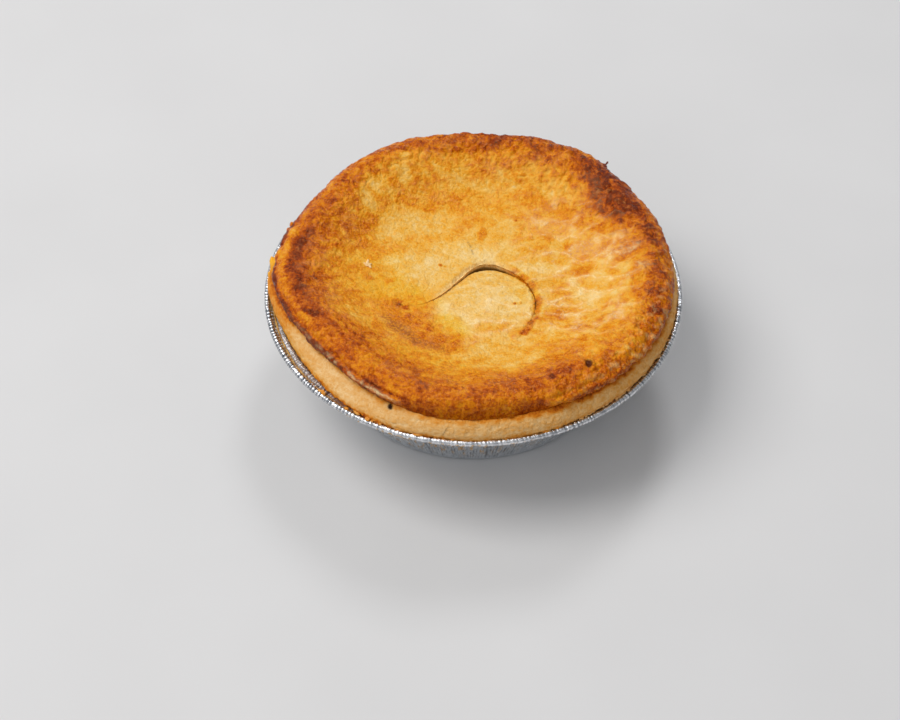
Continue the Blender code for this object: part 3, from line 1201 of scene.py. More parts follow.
    def _veins(self, flat: Array) -> Array:
        """The pale wrinkles where the dough shrank, mostly on the right.

        Args:
            flat: (x, y) places on the flat skin.

        Returns:
            How strongly a wrinkle shows at each place, 0 to 1.
        """
        grain = Grain(self.seed + 21)
        bend = np.column_stack([grain.layered(self._deep(flat, level), 5.0, 2) for level in (3, 60)])
        wavy = (flat + 2.4 * bend) * (0.40, 1.0)
        seams = grain.seams(wavy, 5.6)
        finer = bell(grain.seams(wavy * (1.3, 1.0) + 31, 3.4), 0, 0.07)
        gate = smooth_step(-0.35, 0.25, grain.smooth(self._deep(flat, 140), 4.5))
        plain = np.zeros(len(flat))
        where = 0.12 + Patch(31, -4, 26, 24, 0, 0.85).over(flat, plain)
        inner, outer = Patch(2, -15, 14, 13, 0, 0.9), Patch(26, 24, 12, 8, 0, 0.5)
        where += inner.over(flat, plain) + outer.over(flat, plain)
        where = np.clip(where, 0, 1) * (1 - smooth_step(50, 57, np.hypot(*flat.T)))
        thread = 0.62 * gate * bell(seams, 0, 0.06) + 0.48 * finer * (1 - gate)
        return where * np.clip(thread + 0.55 * bell(seams, 0, 0.24) * (0.4 + 0.6 * gate), 0, 1)

    def _deep(self, flat: Array, level: float) -> Array:
        """Flat places as points in space, at a level that picks the part of the noise."""
        return np.column_stack([flat, np.full(len(flat), float(level))])

    def _relief(self, flat: Array) -> tuple[Array, Array, Array]:
        """The baked surface's ups and downs.

        Args:
            flat: (x, y) places on the flat skin.

        Returns:
            The height along the skin's normal, the mounds, and the blisters with the hollows between them.
        """
        grain = Grain(self.seed)
        distance = np.hypot(*flat.T)
        about, deep = partial(self._round_about, flat), partial(self._deep, flat)
        edge = smooth_step(42, 54, distance)
        far = 0.5 + 0.5 * np.sin(np.radians(self._angle(flat)))
        right = about(45, 42)
        front_left = about(228, 52)
        bend = np.column_stack([grain.smooth(deep(level), 5.0) for level in (7, 27)])
        warped = flat + 1.1 * bend
        mounds = np.abs(grain.smooth(self._deep(warped, 80), 3.4))
        lumps = np.abs(grain.smooth(self._deep(warped, 90), 1.6))
        right_front = about(325, 32)
        rugged = np.clip(far + right_front, 0, 1)
        busy = 0.28 + 0.92 * smooth_step(37, 52, distance) * (0.35 + 0.65 * rugged)
        busy *= 1 - 0.45 * smooth_step(55, 60, distance) * far * (1 - right_front)
        busy *= 1 - 0.55 * about(118, 36) * (1 - smooth_step(50, 56, distance))
        swell = 0.34 * grain.smooth(deep(0), 21) + 0.24 * grain.smooth(deep(40), 8.0)
        height = swell + busy * (0.66 * mounds + 0.42 * lumps)
        height += 0.06 * grain.layered(deep(99), 1.2, 2)
        inland = 0.5 * right * smooth_step(34, 44, distance)
        bubbly = np.clip(edge * (0.2 + 0.4 * far + 0.5 * right) + inland, 0, 1)
        large = Grain(self.seed + 1).domes(warped, 3.2, 0.56)
        small = Grain(self.seed + 2).domes(warped, 1.7, 0.50)
        domes = np.maximum(large, 0.65 * small)
        smoother = 1 - 0.6 * smooth_step(54, 59, distance) * (1 - right_front)
        height += 0.85 * bubbly * domes * smoother + 0.12 * small * (1 - edge)
        broad, narrow = grain.smooth(deep(120), 11), grain.smooth(deep(160), 4.0)
        height += edge * (0.36 * broad + 0.16 * narrow)
        layers = grain.layered(deep(210), 2.8, 2)
        height += 0.45 * right_front * smooth_step(52, 58, distance) * layers
        height += 0.18 * self._veins(flat)
        tucked = np.clip(front_left + about(285, 30), 0, 1)
        height += tucked * 0.40 * bell(distance, 62.2, 0.9)
        height -= tucked * 0.50 * bell(distance, 60.4, 0.55)
        height -= 0.30 * about(182, 26) * bell(distance, 55.6, 0.8)
        return height * (1 - smooth_step(63.8, 65.0, distance)), mounds, bubbly * (domes - 0.30)

    def _toast(self, flat: Array, mounds: Array, blisters: Array, ragged: Array) -> Array:
        """How browned the skin is, 0 to 1, with the mound tops painted paler and the hollows darker as
        painted highlight and shade.

        Args:
            flat: (x, y) places on the flat skin.
            mounds: the height of the mounds there.
            blisters: the height of the blisters there.
            ragged: noise of about -1 to 1.

        Returns:
            The browning, with the painted highlight and shade of the mounds.
        """
        grain = Grain(self.seed + 5)
        distance = np.hypot(*flat.T)
        about, deep = partial(self._round_about, flat), partial(self._deep, flat)
        wander = distance + 1.8 * grain.smooth(deep(30), 8.0) * smooth_step(30, 45, distance)
        toast = read_table(self.bake, wander)
        for patch in self.browner + self.paler:
            toast = toast + patch.over(flat, ragged)
        outer = smooth_step(24, 48, distance)
        front = about(268, 58) * smooth_step(40, 48, distance)
        left = about(186, 30)
        toast += (0.05 + 0.06 * outer) * ragged * (1 - 0.7 * np.maximum(front, left))
        toast += 0.06 * grain.layered(deep(60), 2.6, 2) * (0.5 + 0.5 * outer)
        # Painted highlight and shade: the mound tops are made paler and the hollows between them darker;
        # the blisters brown on top.
        toast += -0.14 * outer * (mounds - 0.3) * (1 - 0.6 * front) + 0.22 * blisters
        middle = smooth_step(9, 20, distance) * (1 - smooth_step(45, 53, distance))
        frayed = self._deep(flat + 1.5 * ragged[:, None], 300)
        clouds = smooth_step(-0.05, 0.40, grain.layered(frayed, 7.5, 4, 0.6))
        wisps = smooth_step(0.10, 0.50, grain.layered(self._deep(flat * (0.8, 1.25), 330), 3.0, 3, 0.6))
        toast -= middle * (0.11 * clouds + 0.09 * wisps - 0.06)
        pushed = self._deep(flat + 2.0 * ragged[:, None], 230)
        ripple = grain.smooth(pushed, 3.4, (2.0, 0.9, 1))
        toast += 0.17 * ripple * Patch(32, -6, 30, 28, 0, 1.0).over(flat, 0 * ragged)
        bands = self._along_edge(flat, 20, 1)
        toast += 0.11 * front * grain.layered(bands, 2.4, 3)
        for streak in self.streaks:
            across = bell(distance, streak.distance, streak.half_width)
            toast += streak.amount * about(streak.angle, streak.half_angle) * across
        toast += 0.50 * about(214, 34) * smooth_step(60.7, 61.6, distance)
        caught = smooth_step(-0.30, 0.35, grain.smooth(bands + 60, 4.5))
        toast += about(268, 38) * smooth_step(60.4, 62.6, distance) * (0.30 * caught - 0.18)
        pleats = 0.10 * grain.smooth(self._along_edge(flat, 13, 1.5), 3.0)
        toast += pleats * about(222, 42) * smooth_step(30, 42, distance)
        rays = 0.10 * grain.smooth(self._along_edge(flat, 62, 0.3), 1.6)
        toast += rays * smooth_step(54, 57, distance) * about(150, 62)
        return np.clip(toast, 0.0, 1.0)

    def _strokes(self, flat: Array, lines: Sequence[Quad], width: float) -> Array:
        """How much of thin straight strokes covers each place.

        Args:
            flat: (x, y) places on the flat skin.
            lines: the strokes, each from (x, y) to (x, y).
            width: their half width.

        Returns:
            The cover, 0 to 1.
        """
        cover = np.zeros(len(flat))
        for ax, ay, bx, by in lines:
            along = np.array([bx - ax, by - ay])
            place = np.clip((flat - (ax, ay)) @ along / (along @ along), 0, 1)
            gap = np.linalg.norm(flat - (ax, ay) - place[:, None] * along, axis=1)
            cover = np.maximum(cover, bell(gap, 0, width))
        return cover

    def _specks(self, flat: Array, table: Sequence[Quad]) -> Array:
        """What round specks add at each place.

        Args:
            flat: (x, y) places on the flat skin.
            table: the specks: (x, y, half width, amount).

        Returns:
            The amounts.
        """
        total = np.zeros(len(flat))
        for x, y, size, amount in table:
            total += amount * bell(np.hypot(*(flat - (x, y)).T), 0, size, 4)
        return total

    def _hole_reach(self, flat: Array) -> Array:
        """The distance from the pin hole, which is longer up and down the slope than across it."""
        return np.hypot(*((flat - self.pin_hole) * (1.0, 0.68)).T)

    def _soot(self, flat: Array, share: Array, off: Array) -> Array:
        """Burnt places: the pin hole, hairline cracks and the vent's torn end and singed lips.

        Args:
            flat: (x, y) places on the flat skin.
            share: the share of the way along the vent.
            off: the distance from the vent, positive on the flap.

        Returns:
            How burnt each place is, 0 to 1.
        """
        grain = Grain(self.seed + 6)
        pits = self._specks(flat, ((-22.2, -11.2, 0.7, 0.45), (-9.8, -62.9, 0.8, 0.9)))
        singed = 1.1 * bell(self._hole_reach(flat), 0, 1.1, 6)
        pits += singed + 0.5 * self._strokes(flat, self.cracks, 0.25)
        dotted = smooth_step(0.05, 0.4, grain.smooth(self._deep(flat, 200), 1.3))
        lips = bell(off, -0.1, 0.65) * smooth_step(0.42, 0.55, share) * (share < 0.97)
        return np.clip(pits + 0.55 * lips * dotted, 0.0, 1.0)

    def _marks(self, flat: Array, mounds: Array, blisters: Array) -> dict[str, Array]:
        """How the bake, egg wash, stains and wrinkles lie on the skin, with the painted shading of the
        mounds and the painted highlight along the front left lip.

        Args:
            flat: (x, y) places on the flat skin.
            mounds: the height of the mounds there.
            blisters: the height of the blisters there.

        Returns:
            The named values.
        """
        ragged = Grain(self.seed + 7).layered(self._deep(flat, 0), 5.0, 4, 0.65)
        share, off = self.vent.nearest(flat)
        wash = sum(patch.over(flat, ragged) for patch in self.washed)
        groove = bell(off, -0.6, 1.2, 4) * smooth_step(0.5, 0.62, share) * (share < 0.995)
        stain = Patch(-22.5, -22.5, 8.5, 2.7, -46, 0.95).over(flat, ragged)
        stain += Patch(-13.5, -29.5, 6.5, 2.3, -30, 0.6).over(flat, ragged)
        face = (off < 0) * (1 - smooth_step(0.5, 1.9, -off + 0.35 * ragged))
        face *= smooth_step(0.12, 0.24, share) * (1 - smooth_step(0.5, 0.64, share))
        toast = self._toast(flat, mounds, blisters, ragged)
        toast = toast + (0.36 + 0.15 * ragged) * groove + self._specks(flat, self.specks)
        tip = bell(np.hypot(*(flat - (14.4, -23.8)).T), 0, 1.3)
        return {
            # Browning, with the painted shading of the mounds.
            "toast": np.clip(toast + 0.20 * tip, 0.0, 1.0),
            "wash": np.clip(wash + 0.95 * groove, 0.0, 0.95),
            "stain": np.clip(stain, 0.0, 0.95),
            "soot": self._soot(flat, share, off),
            # Pale wrinkles, with the painted highlight along the front left lip added in.
            "vein_and_gloss": np.clip(self._veins(flat) + self._painted_lip_highlight(flat), 0.0, 1.0),
            "cut": np.clip(face * (0.85 + 0.5 * ragged) + self._scuffs(flat), 0.0, 1.0),
        }

    def _painted_lip_highlight(self, flat: Array) -> Array:
        """A painted highlight: the broken bright line along the crest of the front left lip, carried in
        the wrinkle mark.

        Args:
            flat: (x, y) places on the flat skin.

        Returns:
            How strongly the line shows, 0 to 1.
        """
        distance = np.hypot(*flat.T)
        along = self._along_edge(flat, 40, 1)
        broken = smooth_step(-0.25, 0.30, Grain(self.seed + 14).layered(along, 1.8, 2))
        return 0.9 * broken * bell(distance, 61.7, 0.6) * self._round_about(flat, 236, 22)

    def _scuffs(self, flat: Array) -> Array:
        """Dry, pale crumb where the glaze missed the rough edge at the front right.

        Args:
            flat: (x, y) places on the flat skin.

        Returns:
            How much crumb shows, 0 to 1.
        """
        missed = smooth_step(0.02, 0.45, Grain(self.seed + 12).layered(self._deep(flat, 0), 2.6, 3, 0.6))
        reach = smooth_step(53, 60, np.hypot(*flat.T))
        return 0.48 * missed * reach * self._round_about(flat, 327, 26)

    def _flat_points(self) -> Array:
        """The loose points of the upper skin, laid flat: rows along the vent and a shaken grid.

        Returns:
            The (x, y) points.
        """
        rows = [self.vent.loop(extra) for extra in (0.14, 0.36, 0.66, 1.0)]
        draw = np.random.default_rng(self.seed)
        step = self.spacing
        count = int(self.form.reach / step) + 2
        column, row = np.meshgrid(np.arange(-count, count + 1), np.arange(-count, count + 1))
        across = (column + 0.5 * (row % 2)).ravel() * step
        grid = np.column_stack([across, row.ravel() * step * TRIANGLE_HEIGHT])
        grid += draw.uniform(-0.16, 0.16, grid.shape) * step
        grid = grid[np.hypot(*grid.T) < self.form.reach - 0.6 * step]
        grid = grid[np.abs(self.vent.nearest(grid)[1]) > 2.0]
        grid = grid[np.hypot(*(grid - self.pin_hole).T) > 1.7]
        turn = TURN * np.arange(24) / 24
        round_hole = np.column_stack([np.cos(turn), np.sin(turn)])
        rows += [np.array(self.pin_hole) + size * round_hole for size in (0.35, 0.7, 0.95, 1.2, 1.5)]
        return np.concatenate(rows + [self.vent.loop(1.4), grid])

    def _top(self, flat: Array) -> tuple[Array, dict[str, Array]]:
        """The upper skin over flat places.

        Args:
            flat: (x, y) places on the flat skin.

        Returns:
            The points, and the named values at them.
        """
        height, mounds, blisters = self._relief(flat)
        share, off = self.vent.nearest(flat)
        hole = bell(self._hole_reach(flat), 0, 0.95, 6)
        points = self.form.skin(flat) + (height - 0.6 * hole)[:, None] * self.form.skin_normals(flat)
        points[:, 2] += self.vent.shift(share, off)
        hem = smooth_step(62.6, 64.6, np.hypot(*flat.T))
        frayed = Grain(self.seed + 8)
        outward = points[:, :2] / np.linalg.norm(points[:, :2], axis=1, keepdims=True)
        far = self._round_about(flat, 90, 70)
        push = (0.50 - 0.32 * far) * frayed.layered(self._deep(flat, 0), 3.2, 3)
        points[:, :2] += (hem * push)[:, None] * outward
        points[:, 2] += hem * 0.30 * frayed.layered(self._deep(flat, 50), 4.0, 3)
        roll = self.crown_roll
        over = points[:, 2] > self.crown - roll
        points[over, 2] = self.crown - roll + roll * np.tanh((points[over, 2] - self.crown + roll) / roll)
        return points, self._marks(flat, mounds, blisters)

    def surface(self, x: float, y: float) -> Array:
        """The point of the baked skin over a flat place.

        Args:
            x: the place's x on the flat skin.
            y: its y.

        Returns:
            The point.
        """
        return self._top(np.array([(x, y)], dtype=float))[0][0]

    def _underside(self, flat: Array) -> Array:
        """The lid's underside below flat places.

        Args:
            flat: (x, y) places on the flat skin.

        Returns:
            The points.
        """
        points = self.form.skin(flat)
        share, off = self.vent.nearest(flat)
        sunk = 1.5 * np.clip(np.sin(np.pi * share), 0, 1) ** 0.7 * np.exp(-np.abs(off) / 9.0)
        level = np.minimum(points[:, 2] - self.thickness, self.form.lid_seat)
        points[:, 2] = level - np.where(off > 0, sunk, 0)
        return points

    def _slit_walls(self, upper: Array, lower: Array) -> Array:
        """The torn faces of the vent, from its upper outline down to its lower one.

        Args:
            upper: the outline on the baked skin.
            lower: the outline on the underside.

        Returns:
            The points below the upper outline, ring by ring.
        """
        rough = Grain(self.seed + 9)
        rings = []
        for share in self._wall_shares():
            ring = upper * (1 - share) + lower * share
            if share < 1:
                shake = [rough.layered(ring + 5 * k, 1.2, 2) for k in (0, 1, 2)]
                ring = ring + 0.16 * np.column_stack(shake)
            rings.append(ring)
        return np.concatenate(rings)

    def _wall_shares(self) -> Array:
        """How far down the vent's walls each row lies."""
        return np.arange(1, self.wall_rows + 1) / self.wall_rows

    def _wall_faces(self, first: int, base: int, around: int) -> list[Sequence[int]]:
        """The faces of the vent's walls.

        Args:
            first: the index of the first point of the upper outline.
            base: the index of the first point below it.
            around: how many points are in the outline.

        Returns:
            The faces.
        """
        here = np.arange(around)
        after = (here + 1) % around
        faces: list[Sequence[int]] = []
        for row in range(self.wall_rows):
            above = first if row == 0 else base + (row - 1) * around
            below = base + row * around
            corners = [above + here, above + after, below + after, below + here]
            faces += np.stack(corners, axis=1).tolist()
        return faces

    def _wall_marks(self, around: int) -> dict[str, Array]:
        """How the vent's walls look: crumb above, darker below, and glazed along the right half.

        Args:
            around: how many points are in the outline.

        Returns:
            The named values.
        """
        depth = np.repeat(smooth_step(0.25, 0.85, self._wall_shares()), around)
        run = np.linspace(0, 1, self.vent.steps + 1)
        glazed = np.tile(smooth_step(0.50, 0.62, np.concatenate([run, run[::-1]])), self.wall_rows)
        return {
            "toast": 0.25 + 0.30 * glazed,
            "wash": 0.8 * glazed,
            "soot": 0.8 * depth,
            "cut": 0.95 * (1 - depth) * (1 - glazed),
        }

    def build(self, finish: Material) -> Thing:
        """Builds the lid as one closed skin.

        Args:
            finish: its material.

        Returns:
            The piece.
        """
        count = int(TURN * self.form.reach / self.edge_step)
        angles = TURN * np.arange(count) / count
        edge = self.form.reach * np.column_stack([np.cos(angles), np.sin(angles)])
        hole = self.vent.loop()
        loose = self._flat_points()
        loose = loose[~inside(self.vent.loop(0.05), loose)]
        top, marks = self._top(np.concatenate([edge, hole, loose]))

        half = int(self.under_reach / self.under_step)
        spots = np.arange(-half, half + 1) * self.under_step
        under = np.array([(x, y) for x in spots for y in spots if math.hypot(x, y) < self.under_reach])
        under = self._underside(under[np.abs(self.vent.nearest(under)[1]) > 2.5])
        low_hole = self._underside(hole)
        around, base = len(hole), len(top)
        walls = self._slit_walls(top[count : count + around], low_hole)

        low = sheet_faces(top[:count, :2], low_hole[:, :2], under[:, :2])
        last_ring = base + len(walls) - around + np.arange(around)
        to_mesh = np.concatenate([np.arange(count), last_ring, base + len(walls) + np.arange(len(under))])
        faces = sheet_faces(edge, hole, loose).tolist() + self._wall_faces(count, base, around)
        faces += to_mesh[low][:, ::-1].tolist()

        on_wall = self._wall_marks(around)
        for name, values in marks.items():
            below = np.full(len(under), 0.25 if name == "toast" else 0.0)
            marks[name] = np.concatenate([values, on_wall.get(name, np.zeros(len(walls))), below])
        shell = Shell(np.concatenate([top, walls, under]), faces, marks)
        return shell.piece("baked_lid", finish, "pastry_lid")


# ---- the case ----


@dataclass
class PastryCase:
    """The bottom crust, seen as a pale band between the lid and the tin."""

    form: PieForm = field(default_factory=PieForm)
    segments: int = 1200
    wall: float = 3.6
    # How many rows of the outline lie inside the case, and how far out its specks are.
    inner_rows: int = 7
    speck_radius: float = 61.0
    seed: int = 31
    # The band above the tin's ledge where it carries the lid: (radius, height).
    collar: tuple[Pair, ...] = (
        (60.9, 31.2), (62.0, 31.8), (62.7, 32.5), (63.1, 33.5), (63.0, 34.8), (62.4, 36.1),
        (61.4, 37.2), (60.0, 37.9),
    )
    # Where the band's foot stands on the ledge, by angle.
    foot: tuple[Pair, ...] = (
        (0, 61.5), (120, 61.4), (165, 61.6), (185, 61.6), (191, 61.3), (197, 60.3), (210, 60.1),
        (220, 60.9), (230, 61.9), (240, 63.0), (255, 63.3), (285, 63.2), (300, 62.8), (320, 62.5),
        (345, 62.1), (360, 61.5),
    )
    # How brown the band's foot is, by angle.
    caught: tuple[Pair, ...] = (
        (0, 0.34), (180, 0.42), (195, 0.46), (250, 0.50), (263, 0.26), (300, 0.22), (360, 0.34),
    )
    # How far the band swells above its foot, by height.
    swell: tuple[Pair, ...] = (
        (31.2, -1.0), (31.8, 0.0), (32.2, 0.35), (33.2, 0.8), (34.5, 1.0), (37.9, 0.0),
    )

    def _profile(self) -> Array:
        """The case's outline, from the middle of its base out, up and back inside.

        Returns:
            The (radius, height) points.
        """
        form, clear, floor = self.form, 0.8, 1.5
        outside = [(20.0, floor), (38.0, floor)]
        outside += [(form.wall_radius(h) - clear, h) for h in (3.2, 9.0, 16.0, 22.0, 28.0)]
        outside.append((form.wall_top_radius - 0.9, form.wall_top_height + 0.3))
        band = smooth_curve(self.collar, 28)
        inside_line = [(57.2, 37.6), (56.4, 33.0), (form.wall_radius(24.0) - clear - self.wall, 24.0)]
        inside_line += [(form.wall_radius(h) - clear - self.wall, h) for h in (14.0, 6.8)]
        inside_line += [(36.0, floor + self.wall), (20.0, floor + self.wall)]
        return np.array(outside + band.tolist() + inside_line)

    def band_radius(self, radius: Array, angle: Array, height: Array) -> Array:
        """The band's radius: its own foot below, the lid's edge above.

        Args:
            radius: the collar's radius at each point.
            angle: the angle of each point, in radians.
            height: the height of each point.

        Returns:
            The radii.
        """
        climb = smooth_step(31.5, 37.2, height)
        low = read_table(self.foot, in_degrees(angle)) + read_table(self.swell, height)
        return (1 - climb) * low + climb * (radius + self.form.lobes(angle, self.form.dents))

    def build(self, finish: Material) -> Thing:
        """Builds the case.

        Args:
            finish: its material.

        Returns:
            The piece.
        """
        profile = self._profile()
        rows, around = len(profile), self.segments
        angle, radius, height = spun(profile, around)
        deep = self.form.place(radius, angle, height)
        grain = Grain(self.seed)
        outside = np.repeat(np.arange(rows) < rows - self.inner_rows, around)
        band = outside & (height > 31.1)
        push = self.form.lobes(angle, self.form.dents)
        inner = radius + np.minimum(push, 0) * smooth_step(31.0, 37.0, height)
        radius = np.where(band, self.band_radius(radius, angle, height), inner)
        relief = 0.20 * grain.smooth(deep, 9.0) + 0.20 * grain.layered(deep + 30, 3.2, 3)
        torn = np.abs(grain.smooth(deep * (1, 1, 2.4) + 60, 2.2)) - 0.3
        right = self.form.lobes(angle, ((-35, 45, 1.0),))
        under_lid = smooth_step(36.6, 37.6, height)
        low = 1 - smooth_step(31.9, 33.2, height)
        crust = 0.45 * low * np.abs(grain.smooth(deep * (1, 1, 0.6) + 70, 1.5))
        relief = relief + (0.20 + 0.40 * right) * torn + crust
        radius = radius + band * relief * smooth_step(31.2, 32.0, height) * (1 - 0.7 * under_lid)
        height = height + band * under_lid * 0.25 * grain.smooth(deep + 15, 3.0)
        points = self.form.place(radius, angle, height)
        marks = self._marks(angle, height, deep, grain)
        shell = Shell(points, turned_faces(rows, around), marks)
        return shell.piece("pale_case", finish, "pastry_case")

    def _marks(self, angle: Array, height: Array, deep: Array, grain: Grain) -> dict[str, Array]:
        """Where the crust has browned, where the lid's painted shadow lies on it, where egg ran down it
        and where it is specked.

        Args:
            angle: the angle of each point, in radians.
            height: the height of each point.
            deep: the points before the crust's relief, where the noise is read.
            grain: the case's noise.

        Returns:
            The named values.
        """
        degrees = in_degrees(angle)
        flat = deep * (1, 1, 0)
        line = 33.0 + 0.6 * grain.smooth(flat, 6.0) + 0.9 * grain.layered(flat + 9, 1.8, 2)
        caught = read_table(self.caught, degrees)
        brown = 0.21 + caught * (1 - smooth_step(-1.0, 1.1, height - line))
        # Painted shadow: a thin dark line on the band just under the lid's edge, strongest at the front
        # right, where the lid overhangs it.
        lid_shadow = 0.20 + 0.22 * bell(degrees, 300, 34)
        brown += lid_shadow * smooth_step(36.8, 37.7, height + 0.5 * grain.smooth(flat + 20, 2.4))
        brown += 0.07 * grain.smooth(deep, 7.0) + 0.06 * grain.layered(deep + 44, 2.2, 2)
        brown += 0.10 * bell(degrees, 335, 45)
        brown += 0.34 * bell(degrees - 186 + 3 * grain.smooth(flat + 80, 3.0), 0, 16, 4)
        wash = 0.9 * bell(degrees, 171, 6) * smooth_step(32.0, 33.5, height)
        wash += 0.4 * bell(degrees, 196, 22) * (1 - smooth_step(32.0, 36.0, height))
        soot = np.zeros_like(angle)
        across = (degrees - 245.5) * math.radians(1) * self.speck_radius
        soot += 1.6 * np.exp(-(((across / 0.85) ** 2 + ((height - 37.25) / 0.5) ** 2) ** 2))
        hair = (degrees - 262.0) * math.radians(1) * self.speck_radius - 0.45 * (height - 35.4)
        soot += 0.6 * bell(hair, 0, 0.18) * (np.abs(height - 35.2) < 1.2)
        return {"brown": np.clip(brown, 0, 1), "wash": np.clip(wash, 0, 1), "soot": np.clip(soot, 0, 1)}


# ---- the tin ----


@dataclass
class FoilTin:
    """The crimped foil tin with its narrow ledge and rolled rim."""

    form: PieForm = field(default_factory=PieForm)
    segments: int = 1840
    foil: float = 0.14
    bead: float = 0.98
    pitch: float = 1.25
    # Where the ledge and the bead begin, going out, and the height that both are above.
    ledge_from: float = 59.8
    bead_from: float = 62.7
    ledge_above: float = 30.0
    seed: int = 51

    def _line(self) -> Array:
        """The middle of the foil from near the axis to the end of the rolled rim.

        Returns:
            The (radius, height) points.
        """
        form, low = self.form, self.foil / 2
        line = [(6.0, low + 0.8), (20.0, low + 0.8), (37.0, low + 0.8), (37.6, low + 0.4), (38.2, low)]
        line += [(41.0, low), (43.2, low), (43.9, low + 0.3), (44.4, low + 1.2)]
        line += [(form.wall_radius(h), h) for h in np.linspace(3.0, form.wall_top_height, 11)]
        line += [(60.3, 30.38), (60.8, 30.6), (61.3, 30.82), (61.8, 31.03)]
        line.append((form.ledge_radius, form.ledge_height))
        middle = (form.rim_radius - low - self.bead, form.rim_height - low - self.bead)
        for degrees in np.linspace(160, -95, 12):
            turn = math.radians(degrees)
            line.append((middle[0] + self.bead * math.cos(turn), middle[1] + self.bead * math.sin(turn)))
        return np.array(line)

    def _within(self, radius: Array, height: Array, low: float, high: float) -> Array:
        """Tells which points of the upper foil lie between two radii."""
        return (radius > low) & (radius < high) & (height > self.ledge_above)

    def _creases(self, angle: Array, radius: Array, height: Array) -> Array:
        """How far the creased foil stands out at each point.

        Args:
            angle: the angle of each point, in radians.
            radius: the radius of the foil's middle there.
            height: the height of the foil's middle there.

        Returns:
            The offsets, in millimetres.
        """
        grain = Grain(self.seed)
        ring = self.form.rim_radius * np.column_stack([np.cos(angle), np.sin(angle), 0 * angle])
        lean = ring + 0.10 * np.column_stack([0 * angle, 0 * angle, height])
        arc = self.form.rim_radius * angle
        arc = arc + 0.8 * grain.smooth(lean + 3, 5.0) + 0.3 * grain.smooth(lean + 13, 2.0)
        phase = (arc / self.pitch) % 1
        fold = 1 - 2 * np.abs(phase - 0.5)
        pinch = bell(phase, 0.5, 0.2)
        strength = np.clip(0.75 + 0.7 * grain.smooth(ring + 50, 3.0), 0.2, 1.4)
        crumpled = self.form.place(60 + 0 * angle, angle, height)
        broad, narrow = crumpled * (1, 1, 0.55), crumpled * (1, 1, 0.8)
        crumple = np.abs(Grain(self.seed + 3).smooth(broad + 0.3 * height[:, None], 2.6))
        crumple += 0.6 * np.abs(Grain(self.seed + 4).smooth(narrow - 0.4 * height[:, None], 1.7))
        on_wall = smooth_step(0.8, 4.0, height) * (1 - smooth_step(28.8, 30.2, height))
        on_ledge = self._within(radius, height, self.ledge_from, self.bead_from)
        on_bead = radius >= self.bead_from
        degrees = in_degrees(angle)
        busy = 0.30 + 0.70 * bell(degrees, 208, 38, 4) + 0.35 * bell(degrees, 325, 34, 4)
        gap = np.abs((arc / 4.1 + 0.4 * grain.smooth(ring + 70, 6.0)) % 1 - 0.5)
        nicks = 0.22 * bell(gap, 0, 0.045) * (1 - busy)
        dimples = 0.10 * grain.smooth(crumpled + 20, 1.8)
        wall = on_wall * (0.62 * fold * strength + 0.46 * crumple - 0.36)
        bare = bell(degrees, 210, 20, 4)
        ridge = bare * bell(radius, 61.1, 1.0)
        ledge = on_ledge * ((0.50 + 0.9 * bare) * (fold - 0.5) * strength + 2 * dimples + 0.8 * ridge)
        return wall + ledge + on_bead * (dimples - 0.34 * busy * strength * pinch - nicks)

    def _outline(self) -> tuple[Array, Array, Array]:
        """The foil's cross-section.

        Returns:
            The points round it, the points of its middle line behind them, and the way in which the
            seen side faces there. The sides that the pastry or the roll hides have fewer points.
        """
        line = self._line()
        along = np.gradient(line, axis=0)
        along /= np.linalg.norm(along, axis=1, keepdims=True)
        aside = np.column_stack([-along[:, 1], along[:, 0]])
        on_wall = line[:, 0] < self.form.wall_top_radius + 0.1
        few = np.arange(len(line)) % 4 == 0
        few[-1] = True
        low, high = on_wall | few, (~on_wall | few)
        middle = np.concatenate([line[low], line[high][::-1]])
        facing = np.concatenate([-aside[low], aside[high][::-1]])
        seen = np.where(on_wall[:, None], -aside, aside)
        return middle + facing * self.foil / 2, middle, np.concatenate([seen[low], seen[high][::-1]])

    def build(self, finish: Material) -> Thing:
        """Builds the tin as one thin closed shell.

        Args:
            finish: its material.

        Returns:
            The piece.
        """
        side, middle, seen = self._outline()
        rows, around = len(side), self.segments
        columns = spun(np.column_stack([side, middle, seen]), around)
        angle, radius, height, core, level, seen_out, seen_up = columns
        crease = self._creases(angle, core, level)
        radius = radius + crease * seen_out
        height = height + crease * np.where(core > self.ledge_from, 1.0, 0.3) * seen_up
        radius = np.minimum(radius, self.form.rim_radius - 0.02)
        points = self.form.place(radius, angle, np.clip(height, 0.0, self.form.rim_height))
        marks = self._marks(angle, core, level, points)
        degrees = in_degrees(angle)
        # Painted shade: the fold mark darkens the foil where the creases sink in, most on the left and the
        # front right.
        crease_shade_strength = 0.45 + 0.55 * bell(degrees, 208, 26, 4) + 0.45 * bell(degrees, 325, 34, 4)
        above = core > self.ledge_from + 0.15
        low = np.where(above, 0.02, 0.0)
        marks["fold"] = (1 - smooth_step(low - 0.22, low, crease)) * np.where(above, crease_shade_strength, 1.0)
        shell = Shell(points, turned_faces(rows, around), marks)
        return shell.piece("crimped_tin", finish, "foil_tin")

